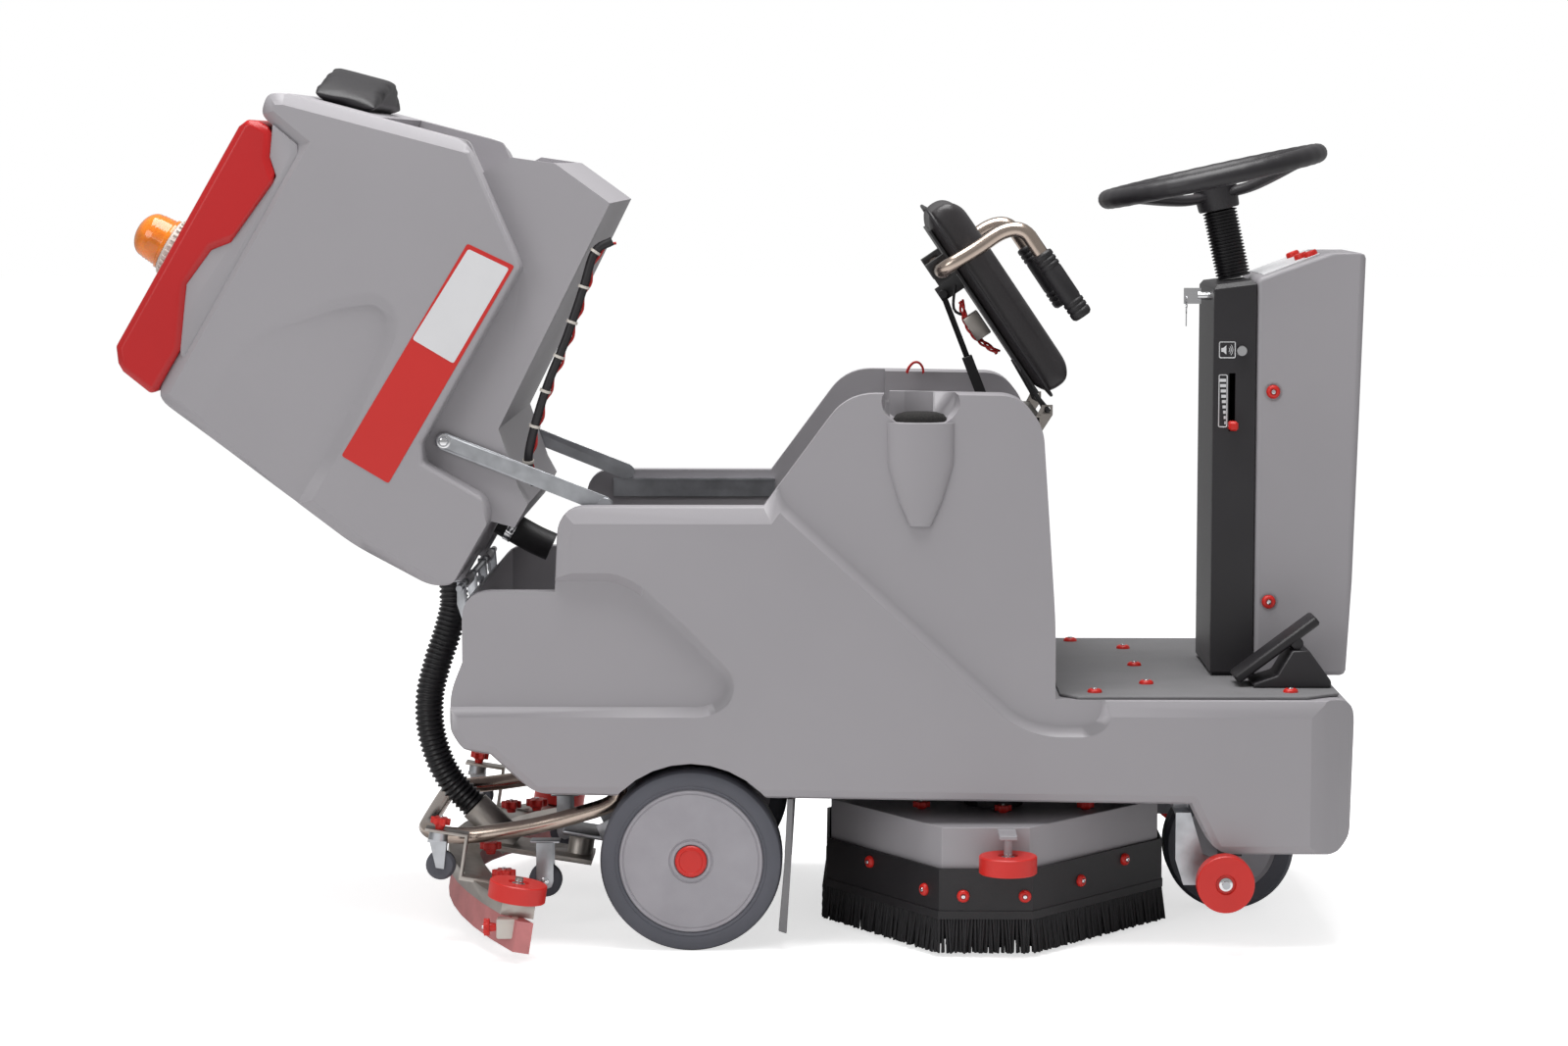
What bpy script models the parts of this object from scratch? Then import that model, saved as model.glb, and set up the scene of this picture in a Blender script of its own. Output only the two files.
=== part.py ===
"""Ride-on floor scrubber-dryer, shown open for service: tank tipped back, seat raised.

Metres, +Z up, +X forward, -Y the driver's right. The floor is Z = 0. Places inside the machine are
measured from the rear axle, and the empty named machine carries them into the object's own frame.
"""

import math

import bmesh
import bpy
from mathutils import Matrix, Vector

# Whole machine, from the rear axle
REAR_REACH = 0.866
FRONT_REACH = 1.006
REAR_AXLE_X = (REAR_REACH - FRONT_REACH) / 2
GAP = 0.0003
RUNNING = 0.0015

# Main body, which is also the clean-water tank
BODY_HALF_WIDTH = 0.35
BODY_REAR_X = -0.352
BODY_NOSE_X = 0.976
SILL_Z = 0.231
APRON_Z = 0.145
PLATFORM_Z = 0.372
LEDGE_Z = 0.529
RIM_Z = 0.654
SEAT_RIM_Z = 0.819
SIDE_WALL = 0.045
BAY_FLOOR_Z = 0.300
BAY_HALF_WIDTH = BODY_HALF_WIDTH - SIDE_WALL
BAY_REAR_X = -0.315
BAY_FRONT_X = 0.490
SEAT_BAY_X = 0.290
SEAT_LEDGE_Z = 0.772
UNDERSIDE_Z = 0.270
RAIL_Y = 0.238
RAIL_Z = 0.236

# Rear wheels and transaxle
WHEEL_RADIUS = 0.1335
WHEEL_WIDTH = 0.070
WHEEL_FACE_Y = 0.345
ARCH_GAP = 0.012
AXLE_RADIUS = 0.011

# Front wheel and steering
FRONT_WHEEL_X = 0.820
FRONT_WHEEL_RADIUS = 0.100
FRONT_WHEEL_WIDTH = 0.060
FORK_THICKNESS = 0.006
WELL_CEILING_Z = 0.330
STEERING_TILT = math.radians(12.6)
STEERING_CENTRE = (0.785, 0.0, 1.130)
STEERING_RADIUS = 0.163
RIM_RADIUS = 0.0145
COLUMN_RADIUS = 0.012
COLUMN_LENGTH = 0.230

# Console
CONSOLE_REAR_X = 0.778
CONSOLE_SPLIT_X = 0.843
CONSOLE_TOP_Z = 0.968
CONSOLE_NOSE_Z = 1.016
CONSOLE_HALF_WIDTH = 0.115
CONSOLE_WALL = 0.008
PEDAL_SLOPE = math.radians(37)
MAT_THICKNESS = 0.005

# Recovery tank, level and measured from its hinge, then tipped back
TANK_HINGE = (-0.343, 0.0, 0.527)
TANK_TILT = math.radians(60)
TANK_HALF_WIDTH = 0.335
SKIRT_HALF_WIDTH = 0.283
TANK_WALL = 0.014
HINGE_ROD_RADIUS = 0.005
LINK_PIVOT = (0.1794, 0.1265)
LINK_LENGTH = 0.2536
LINK_ANGLE = math.radians(21.6)
LINK_Y = 0.2895
LINK_THICKNESS = 0.004
ROLLER_RADIUS = 0.011
LID_TOP = 0.604

# Seat, level and measured from its hinge, then tipped forward
SEAT_HINGE = (0.527, 0.0, 0.784)
SEAT_TILT = math.radians(56)
SEAT_HALF_WIDTH = 0.205
SEAT_LENGTH = 0.340
PAN_THICKNESS = 0.004
CUSHION_HEIGHT = 0.056
ARM_TUBE_RADIUS = 0.011
ARM_Y = 0.232
ARM_PIVOT = (-0.262, -0.016)
STAY_FOOT = (0.466, 0.0, 0.715)
STAY_TOP = (0.375, 0.0, 0.950)
SLEEVE_LENGTH = 0.150

# Brush deck
DECK_X = 0.450
DECK_HALF_WIDTH = 0.370
DECK_TOP_Z = 0.190
DECK_SKIRT_Z = 0.108
BRISTLE_TIP_Z = 0.006
BRUSH_RADIUS = 0.160
BRUSH_Y = 0.168
MOTOR_HEIGHT = 0.034
DECK_REAR_POST_X = 0.245
DECK_FRONT_POST_X = 0.640
POST_RADIUS = 0.007
BUMPER_RADIUS = 0.042
BUMPER_WIDTH = 0.026

# Squeegee, level and measured from its lift pivot, then pitched with its rear up
LIFT_PIVOT = (-0.080, 0.0, 0.150)
SQUEEGEE_PITCH = math.radians(8.8)
SWING_X = -0.095
ARC_HALF_WIDTH = 0.440
ARC_DEPTH = 0.135
ARC_REAR_X = -0.275
BLADE_TIP_Z = -0.156
BLADE_HEIGHT = 0.046
BLADE_THICKNESS = 0.010
PORT_X = -0.2336
PORT_Z = -0.0612
PORT_LEAN = math.radians(45)
CASTER_RADIUS = 0.022
CASTER_WIDTH = 0.018
CASTER_Y = 0.300


def clear_scene():
    for obj in list(bpy.data.objects):
        bpy.data.objects.remove(obj, do_unlink=True)


def collection(name):
    made = bpy.data.collections.new(name)
    bpy.context.scene.collection.children.link(made)
    return made


def finish(name, colour, roughness, metallic=0.0):
    material = bpy.data.materials.new(name)
    material.use_nodes = True
    shader = material.node_tree.nodes["Principled BSDF"]
    shader.inputs["Base Color"].default_value = (*colour, 1.0)
    shader.inputs["Roughness"].default_value = roughness
    shader.inputs["Metallic"].default_value = metallic
    return material


def frame_at(name, parent, place=(0, 0, 0), turn=(0, 0, 0)):
    """An empty on a joint axis. What moves about that joint is measured from it."""
    empty = bpy.data.objects.new(name, None)
    empty.location = place
    empty.rotation_euler = turn
    empty.parent = parent
    PARTS.objects.link(empty)
    return empty


def body_of(mesh, name, frame, material):
    obj = bpy.data.objects.new(name, mesh)
    obj.parent = frame
    if material is None:
        CUTTERS.objects.link(obj)
        obj.hide_render = True
        obj.display_type = "WIRE"
    else:
        PARTS.objects.link(obj)
        mesh.materials.append(material)
        mesh.shade_smooth()
        mesh.set_sharp_from_angle(angle=math.radians(35))
    return obj


def mesh_of(shape, name):
    mesh = bpy.data.meshes.new(name)
    bmesh.ops.recalc_face_normals(shape, faces=shape.faces)
    shape.to_mesh(mesh)
    shape.free()
    return mesh


def bevel(obj, width, segments=1, angle=30):
    modifier = obj.modifiers.new("rounded_edges", "BEVEL")
    modifier.width = width
    modifier.segments = segments
    modifier.limit_method = "ANGLE"
    modifier.angle_limit = math.radians(angle)
    return obj


def block(name, frame, material, low, high, rounding=0.0):
    """A box between two corners."""
    shape = bmesh.new()
    size = Vector(high) - Vector(low)
    centre = (Vector(high) + Vector(low)) / 2
    bmesh.ops.create_cube(shape, size=1.0, matrix=Matrix.Translation(centre) @ Matrix.Diagonal((*size, 1)))
    obj = body_of(mesh_of(shape, name), name, frame, material)
    return bevel(obj, rounding) if rounding else obj


def rod(name, frame, material, centre, radius, length, axis="Y", sides=24, top_radius=None):
    """A cylinder, or a cone where top_radius is given, along one axis."""
    turns = {"X": Matrix.Rotation(math.pi / 2, 4, "Y"), "Y": Matrix.Rotation(-math.pi / 2, 4, "X"),
             "Z": Matrix.Identity(4)}
    shape = bmesh.new()
    bmesh.ops.create_cone(
        shape, cap_ends=True, segments=sides, radius1=radius,
        radius2=radius if top_radius is None else top_radius, depth=length,
        matrix=Matrix.Translation(centre) @ turns[axis])
    return body_of(mesh_of(shape, name), name, frame, material)


def slab(name, frame, material, outline, low, high, plane="XZ", rounding=0.0):
    """A flat outline with thickness: in X and Z between two Y values, or in X and Y between two Z values."""
    curve = bpy.data.curves.new(name, "CURVE")
    curve.dimensions = "2D"
    curve.fill_mode = "BOTH"
    curve.extrude = (high - low) / 2 - rounding
    curve.bevel_depth = rounding
    curve.bevel_resolution = 1
    curve.offset = -rounding
    spline = curve.splines.new("POLY")
    spline.points.add(len(outline) - 1)
    for point, (u, v) in zip(spline.points, outline):
        point.co = (u, v, 0, 1)
    spline.use_cyclic_u = True
    guide = bpy.data.objects.new(name + "_outline", curve)
    middle = (low + high) / 2
    if plane == "XZ":
        guide.matrix_world = Matrix.Translation((0, middle, 0)) @ Matrix.Rotation(math.pi / 2, 4, "X")
    else:
        guide.matrix_world = Matrix.Translation((0, 0, middle))
    return from_curve(guide, name, frame, material)


def tube(name, frame, material, points, radius, detail=2):
    """A round bar through the points."""
    curve = bpy.data.curves.new(name, "CURVE")
    curve.dimensions = "3D"
    curve.bevel_depth = radius
    curve.bevel_resolution = detail
    curve.use_fill_caps = True
    spline = curve.splines.new("POLY")
    spline.points.add(len(points) - 1)
    for point, place in zip(spline.points, points):
        point.co = (*place, 1)
    return from_curve(bpy.data.objects.new(name + "_line", curve), name, frame, material)


def from_curve(guide, name, frame, material):
    bpy.context.scene.collection.objects.link(guide)
    bpy.context.view_layer.update()
    graph = bpy.context.evaluated_depsgraph_get()
    mesh = bpy.data.meshes.new_from_object(guide.evaluated_get(graph))
    mesh.transform(guide.matrix_world)
    bpy.data.objects.remove(guide, do_unlink=True)
    shape = bmesh.new()
    shape.from_mesh(mesh)
    bmesh.ops.remove_doubles(shape, verts=shape.verts, dist=1e-5)
    bpy.data.meshes.remove(mesh)
    return body_of(mesh_of(shape, name), name, frame, material)


def turned(name, frame, material, profile, place=(0, 0, 0), turn=(0, 0, 0), sides=32):
    """A solid of revolution about its own Z. The profile runs (radius, height) from top to bottom."""
    shape = bmesh.new()
    points = [shape.verts.new((radius, 0, height)) for radius, height in profile]
    for first, second in zip(points, points[1:]):
        shape.edges.new((first, second))
    if profile[0][0] > 0:
        shape.edges.new((points[-1], points[0]))
    mesh = bpy.data.meshes.new(name)
    shape.to_mesh(mesh)
    shape.free()
    obj = body_of(mesh, name, frame, material)
    obj.location = place
    obj.rotation_euler = turn
    screw = obj.modifiers.new("turned", "SCREW")
    screw.steps = sides
    screw.render_steps = sides
    screw.use_merge_vertices = True
    screw.merge_threshold = 0.0001
    return obj


def combine(obj, other, operation):
    modifier = obj.modifiers.new(other.name, "BOOLEAN")
    modifier.operation = operation
    modifier.object = other
    return obj


def cut(obj, *cutters):
    for cutter in cutters:
        combine(obj, cutter, "DIFFERENCE")
    return obj


def join(obj, *others):
    for other in others:
        combine(obj, other, "UNION")
    return obj


def mirrored(points):
    """A half outline on the -Y side, closed with its mirror image."""
    return list(points) + [(x, -y) for x, y in reversed(points)]


def sides():
    """The driver's right, then left: the sign of Y and the word for a name."""
    return ((-1, "right"), (1, "left"))


def arc(points, centre, radius, start, end):
    """Points on a circle in a plane, angles in degrees, counter-clockwise from the first axis."""
    step = (end - start) / (points - 1)
    return [(centre[0] + radius * math.cos(math.radians(start + i * step)),
             centre[1] + radius * math.sin(math.radians(start + i * step))) for i in range(points)]


# ---------------------------------------------------------------- body and chassis

def sill(x):
    """Height of the body's lower edge, which falls a little towards the front."""
    return SILL_Z - 0.0125 * (x + 0.229)


def front_corner(side):
    """Plan outline of what a rounded front corner leaves out."""
    curve = [(x, side * y) for x, y in arc(7, (BODY_NOSE_X - 0.110, 0.242), 0.115, 90, 0)]
    return curve + [(BODY_NOSE_X + 0.020, side * 0.242), (BODY_NOSE_X + 0.020, side * 0.380), (BODY_NOSE_X - 0.110, side * 0.380)]


def body_outline():
    rear = BODY_REAR_X + 0.018
    return [
        (rear, LEDGE_Z), (rear, 0.425), (BODY_REAR_X, 0.380), (BODY_REAR_X, 0.325), (rear, 0.297),
        (-0.293, 0.290), (-0.229, sill(-0.229)), (0.728, sill(0.728)), (0.765, APRON_Z),
        (BODY_NOSE_X - 0.030, APRON_Z), (BODY_NOSE_X - 0.008, APRON_Z + 0.022), (BODY_NOSE_X, PLATFORM_Z),
        (0.532, PLATFORM_Z), (0.532, 0.480), (0.512, 0.772), (0.476, 0.815), (0.228, SEAT_RIM_Z),
        (0.106, RIM_Z), (-0.192, RIM_Z), (-0.198, LEDGE_Z),
    ]


def make_body(machine):
    shell = slab("body_shell", machine, GREY, body_outline(), -BODY_HALF_WIDTH, BODY_HALF_WIDTH, rounding=0.014)
    high = SEAT_RIM_Z + 0.05
    bay = BAY_HALF_WIDTH
    seat_bay = 0.190
    ledge = 0.2475
    cut(shell,
        block("cut_battery_bay", machine, None, (-0.150, -bay, BAY_FLOOR_Z), (SEAT_BAY_X, bay, high)),
        block("cut_rear_pocket", machine, None, (BAY_REAR_X, -bay, 0.380), (-0.205, bay, high)),
        block("cut_cross_wall", machine, None, (-0.230, -bay, 0.480), (-0.140, bay, high)),
        block("cut_seat_bay", machine, None, (SEAT_BAY_X - 0.010, -seat_bay, 0.420), (BAY_FRONT_X, seat_bay, high)),
        block("cut_seat_ledge", machine, None, (SEAT_BAY_X - 0.010, -ledge, SEAT_LEDGE_Z), (0.600, ledge, high)),
        block("cut_underside", machine, None, (-0.190, -0.262, 0.100), (0.700, 0.262, UNDERSIDE_Z)),
        block("cut_front_well", machine, None, (0.640, -0.262, 0.100), (0.940, 0.262, WELL_CEILING_Z)))
    for side, word in sides():
        arch = rod(f"cut_arch_{word}", machine, None, (0, side * 0.31, WHEEL_RADIUS),
                   WHEEL_RADIUS + ARCH_GAP, 0.11, sides=32)
        corner = slab(f"cut_corner_{word}", machine, None, front_corner(side), 0.100, 0.450, "XY")
        cut(shell, arch, corner)
    mouth = rod("cut_filler", machine, None, (0.334, -0.295, 0.775), 0.040, 0.12, "Z")
    cut(shell, mouth)
    return shell


def make_chassis(machine):
    top = UNDERSIDE_Z - GAP
    rear, front = -0.180, 0.742
    frame = block("chassis_frame", machine, STEEL_BLACK, (rear, -RAIL_Y - 0.020, RAIL_Z), (front, -RAIL_Y + 0.020, top))
    bars = [block("add_rail", machine, None, (rear, RAIL_Y - 0.020, RAIL_Z), (front, RAIL_Y + 0.020, top))]
    beams = (("rear", -0.165), ("axle", 0.005), ("deck_rear", DECK_REAR_POST_X), ("deck_front", DECK_FRONT_POST_X),
             ("lug", LIFT_PIVOT[0]))
    for name, x in beams:
        bars.append(block(f"add_{name}_beam", machine, None, (x - 0.018, -RAIL_Y, RAIL_Z + 0.002), (x + 0.018, RAIL_Y, top - 0.002)))
    # Lugs that carry the squeegee's lift pivot
    for side, word in sides():
        bars.append(block(f"add_lug_{word}", machine, None,
                          (LIFT_PIVOT[0] - 0.016, side * 0.062 - 0.003, LIFT_PIVOT[2] - 0.016),
                          (LIFT_PIVOT[0] + 0.016, side * 0.062 + 0.003, RAIL_Z + 0.006)))
    # Posts the deck slides on
    for name, x, y in deck_posts():
        bars.append(rod(f"add_post_{name}", machine, None, (x, y, (RAIL_Z + 0.135) / 2 + 0.003), POST_RADIUS, RAIL_Z - 0.129, "Z", 14))
    join(frame, *bars, *transaxle(machine))
    return cut(frame, rod("cut_lugs", machine, None, LIFT_PIVOT, 0.0066, 0.150, sides=12))


def deck_posts():
    return (("rear", DECK_REAR_POST_X, 0.0), ("front_right", DECK_FRONT_POST_X, -0.090), ("front_left", DECK_FRONT_POST_X, 0.090))


def transaxle(machine):
    """Drive housing and wheel shaft, bolted up to the chassis."""
    centre = (0, 0, WHEEL_RADIUS)
    shaft_length = 2 * (WHEEL_FACE_Y - 0.016)
    return [rod("add_axle_tube", machine, None, centre, 0.026, 0.480, sides=20),
            rod("add_gear_housing", machine, None, centre, 0.062, 0.110, sides=24),
            rod("add_wheel_shaft", machine, None, centre, AXLE_RADIUS, shaft_length, sides=16),
            block("add_axle_mount", machine, None, (-0.030, -0.195, WHEEL_RADIUS), (0.030, 0.195, 0.240))]


def make_rear_wheels(machine):
    width = WHEEL_WIDTH
    profile = [(AXLE_RADIUS + RUNNING / 3, width - 0.018), (0.098, width - 0.012), (0.104, width - 0.002),
               (0.112, width), (WHEEL_RADIUS - 0.010, width - 0.003), (WHEEL_RADIUS, width - 0.016),
               (WHEEL_RADIUS, 0.016), (WHEEL_RADIUS - 0.010, 0.003), (0.100, 0.0),
               (0.040, 0.012), (AXLE_RADIUS + RUNNING / 3, 0.012)]
    for side, word in sides():
        hub = frame_at(f"rear_wheel_axis_{word}", machine, (0, side * (WHEEL_FACE_Y - width), WHEEL_RADIUS),
                       (-side * math.pi / 2, 0, 0))
        turned(f"rear_wheel_{word}", hub, RUBBER_GREY, profile, sides=40)


def make_mudflaps(machine):
    for side, word in sides():
        y = side * 0.306
        slab(f"mudflap_{word}", machine, RUBBER_GREY,
             [(0.150, sill(0.150) - GAP), (0.141, sill(0.150) - GAP), (0.136, 0.120), (0.128, 0.030), (0.140, 0.026), (0.146, 0.120)],
             y - 0.036, y + 0.036)


def make_batteries(machine):
    for side, word in sides():
        low = (-0.110, side * 0.100 - 0.090, BAY_FLOOR_Z + GAP)
        high = (0.250, side * 0.100 + 0.090, BAY_FLOOR_Z + 0.240)
        case = block(f"battery_{word}", machine, BLACK_PLASTIC, low, high, 0.006)
        posts = [rod(f"add_post_{word}_{end}", machine, None, (x, side * 0.100, high[2] + 0.006), 0.009, 0.020, "Z", 12)
                 for end, x in (("rear", -0.080), ("front", 0.220))]
        join(case, *posts)


def make_platform(machine):
    mat = slab("footplate_mat", machine, RUBBER_GREY,
               mirrored([(0.540, -0.300), (0.565, -0.330), (0.900, -0.330), (0.950, -0.290)]),
               PLATFORM_Z + GAP, PLATFORM_Z + MAT_THICKNESS, "XY")
    return mat


# ---------------------------------------------------------------- console, steering, controls

def column_frame(machine):
    return frame_at("steering_axis", machine, STEERING_CENTRE, (0, -STEERING_TILT, 0))


def make_console(machine):
    floor = PLATFORM_Z + MAT_THICKNESS + GAP
    half = CONSOLE_HALF_WIDTH
    housing = slab("console_housing", machine, GREY,
                   [(CONSOLE_SPLIT_X, floor), (0.984, floor), (BODY_NOSE_X + 0.016, 0.520), (FRONT_REACH, CONSOLE_NOSE_Z),
                    (FRONT_REACH - 0.060, CONSOLE_NOSE_Z), (CONSOLE_SPLIT_X, CONSOLE_TOP_Z + 0.010)], -half, half)
    bevel(housing, 0.008, 2)
    wall = CONSOLE_WALL
    cut(housing, slab("cut_housing", machine, None,
                      [(CONSOLE_SPLIT_X - 0.010, floor + wall), (0.970, floor + wall), (FRONT_REACH - 0.020, 0.960),
                       (CONSOLE_SPLIT_X - 0.010, CONSOLE_TOP_Z - 0.006)], wall - half, half - wall))
    trim = slab("console_trim", machine, BLACK_PLASTIC,
                [(CONSOLE_REAR_X, floor), (CONSOLE_SPLIT_X - GAP, floor), (CONSOLE_SPLIT_X - GAP, CONSOLE_TOP_Z + 0.008),
                 (CONSOLE_REAR_X, CONSOLE_TOP_Z)], -half, half)
    bevel(trim, 0.006)
    slot_x = 0.807
    slot_half = 0.0048
    cut(trim,
        block("cut_trim", machine, None, (CONSOLE_REAR_X + wall, wall - half, floor + wall),
              (CONSOLE_SPLIT_X + 0.010, half - wall, CONSOLE_TOP_Z - wall)),
        rod("cut_column", machine, None, (0.8215, 0, CONSOLE_TOP_Z), COLUMN_RADIUS + 0.006, 0.060, "Z", 16),
        block("cut_lever_slot", machine, None, (slot_x - slot_half, -half - 0.010, 0.7485), (slot_x + slot_half, -0.090, 0.836)),
        rod("cut_horn", machine, None, (0.820, -half, 0.870), 0.008, 0.040, sides=16),
        rod("cut_key", machine, None, (CONSOLE_REAR_X, -0.060, 0.950), 0.007, 0.040, "X", 16))
    # The housing clears the column where the tilted shaft comes through its top edge
    cut(housing, rod("cut_column_front", machine, None, (0.8265, 0, CONSOLE_TOP_Z), COLUMN_RADIUS + 0.006, 0.090, "Z", 16))


def make_steering(machine):
    axis = column_frame(machine)
    count = 36
    shape = bmesh.new()
    rings = []
    for i in range(count):
        turn = 2 * math.pi * i / count
        ring = []
        for j in range(8):
            around = 2 * math.pi * j / 8
            reach = STEERING_RADIUS + RIM_RADIUS * math.cos(around)
            ring.append(shape.verts.new((reach * math.cos(turn), reach * math.sin(turn), RIM_RADIUS * math.sin(around))))
        rings.append(ring)
    for i, ring in enumerate(rings):
        after = rings[(i + 1) % count]
        for j in range(8):
            shape.faces.new((ring[j], after[j], after[(j + 1) % 8], ring[(j + 1) % 8]))
    wheel = body_of(mesh_of(shape, "steering_wheel"), "steering_wheel", axis, BLACK_PLASTIC)
    hub = rod("add_hub", axis, None, (0, 0, -0.030), 0.034, 0.036, "Z", 20)
    shaft = rod("add_shaft", axis, None, (0, 0, -0.040 - COLUMN_LENGTH / 2), COLUMN_RADIUS, COLUMN_LENGTH, "Z", 16)
    spokes = []
    for number, angle in enumerate((0, 120, 240)):
        outline = [(0.010, -0.030), (0.070, -0.030), (STEERING_RADIUS, -0.004), (STEERING_RADIUS, 0.006), (0.060, -0.016), (0.010, -0.016)]
        spoke = slab(f"add_spoke_{number}", axis, None, outline, -0.016, 0.016)
        spoke.rotation_euler = (0, 0, math.radians(angle))
        spokes.append(spoke)
    join(wheel, hub, *spokes, shaft)
    ridges = []
    pitch = 0.0098
    for i in range(10):
        top = -0.056 - i * pitch
        ridges += [(0.0225, top), (0.0265, top - pitch / 2)]
    inner = COLUMN_RADIUS + 0.0008
    profile = [(inner, -0.052), *ridges, (0.0235, -0.1577), (inner, -0.1577)]
    turned("steering_bellows", column_frame_fixed(machine), RUBBER_BLACK, profile, sides=16)


def column_frame_fixed(machine):
    return frame_at("column", machine, STEERING_CENTRE, (0, -STEERING_TILT, 0))


def make_front_wheel(machine):
    steer = frame_at("front_steer_axis", machine, (FRONT_WHEEL_X, 0, FRONT_WHEEL_RADIUS))
    half = FRONT_WHEEL_WIDTH / 2
    cheek_y = half + 0.006
    cheek_top = 0.195 - FRONT_WHEEL_RADIUS
    stem_low = cheek_top + 0.010
    stem_high = WELL_CEILING_Z - GAP - FRONT_WHEEL_RADIUS
    fork = rod("front_fork", steer, STEEL_BLACK, (0, 0, (stem_high + stem_low) / 2), 0.045, stem_high - stem_low, "Z", 20)
    parts = [block("add_fork_bridge", steer, None, (-0.040, -cheek_y - FORK_THICKNESS, cheek_top + 0.008),
                   (0.040, cheek_y + FORK_THICKNESS, cheek_top + 0.014)),
             rod("add_front_axle", steer, None, (0, 0, 0), 0.008, 2 * (cheek_y + FORK_THICKNESS), sides=12)]
    for side, word in sides():
        low, high = sorted((side * cheek_y, side * (cheek_y + FORK_THICKNESS)))
        parts.append(slab(f"add_cheek_{word}", steer, None,
                          [(-0.018, -0.014), (0.018, -0.014), (0.036, cheek_top + 0.010), (-0.036, cheek_top + 0.010)], low, high))
    join(fork, *parts)
    spin = frame_at("front_wheel_axis", steer, (0, -half, 0), (-math.pi / 2, 0, 0))
    edge = FRONT_WHEEL_RADIUS
    turned("front_wheel", spin, RUBBER_GREY,
           [(0.0085, 2 * half), (0.070, 2 * half - 0.006), (edge - 0.006, 2 * half), (edge, 2 * half - 0.008), (edge, 0.008),
            (edge - 0.006, 0), (0.070, 0.006), (0.0085, 0)], sides=32)


def make_controls(machine):
    half = CONSOLE_HALF_WIDTH
    lever = block("squeegee_lever", machine, RED, (0.800, -half - 0.030, 0.751), (0.814, -half - 0.006, 0.765), 0.003)
    join(lever, block("add_lever_stem", machine, None, (0.803, -half - 0.010, 0.755), (0.811, -0.080, 0.761)))
    horn = rod("horn_button", machine, CHROME, (0.820, -half - 0.001, 0.870), 0.0075, 0.022, sides=16)
    join(horn, rod("add_horn_flange", machine, None, (0.820, -half + 0.0115, 0.870), 0.010, 0.003, sides=16))
    key_z = 0.950
    key = rod("ignition_key", machine, CHROME, (CONSOLE_REAR_X - 0.004, -0.060, key_z), 0.0065, 0.030, "X", 16)
    join(key, block("add_key_bow", machine, None, (CONSOLE_REAR_X - 0.040, -0.0615, key_z - 0.012),
                    (CONSOLE_REAR_X - 0.014, -0.0585, key_z + 0.012)))


def make_pedal(machine):
    floor = PLATFORM_Z + MAT_THICKNESS + GAP
    base = slab("pedal_base", machine, BLACK_PLASTIC,
                [(0.830, floor), (0.945, floor), (0.945, floor + 0.010), (0.912, floor + 0.0552), (0.887, floor + 0.0552),
                 (0.865, floor + 0.018), (0.830, floor + 0.006)], -0.245, -0.160)
    bevel(base, 0.002)
    pivot = (0.896, -0.2025, floor + 0.064)
    axis = frame_at("pedal_axis", machine, pivot, (0, -PEDAL_SLOPE, 0))
    pedal = block("accelerator_pedal", axis, RUBBER_BLACK, (-0.105, -0.034, 0.004), (0.045, 0.034, 0.018), 0.003)
    join(pedal, rod("add_pedal_boss", axis, None, (0, 0, 0.001), 0.009, 0.066, sides=16))
    return base


# ---------------------------------------------------------------- brush deck

def deck_plan(grow=0.0):
    x0, x1, half = 0.205 - grow, 0.700 + grow, DECK_HALF_WIDTH + grow
    return mirrored([(x0, -0.130), (0.366 - grow / 2, -half), (0.494 + grow / 2, -half), (x1, -0.130)])


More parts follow.
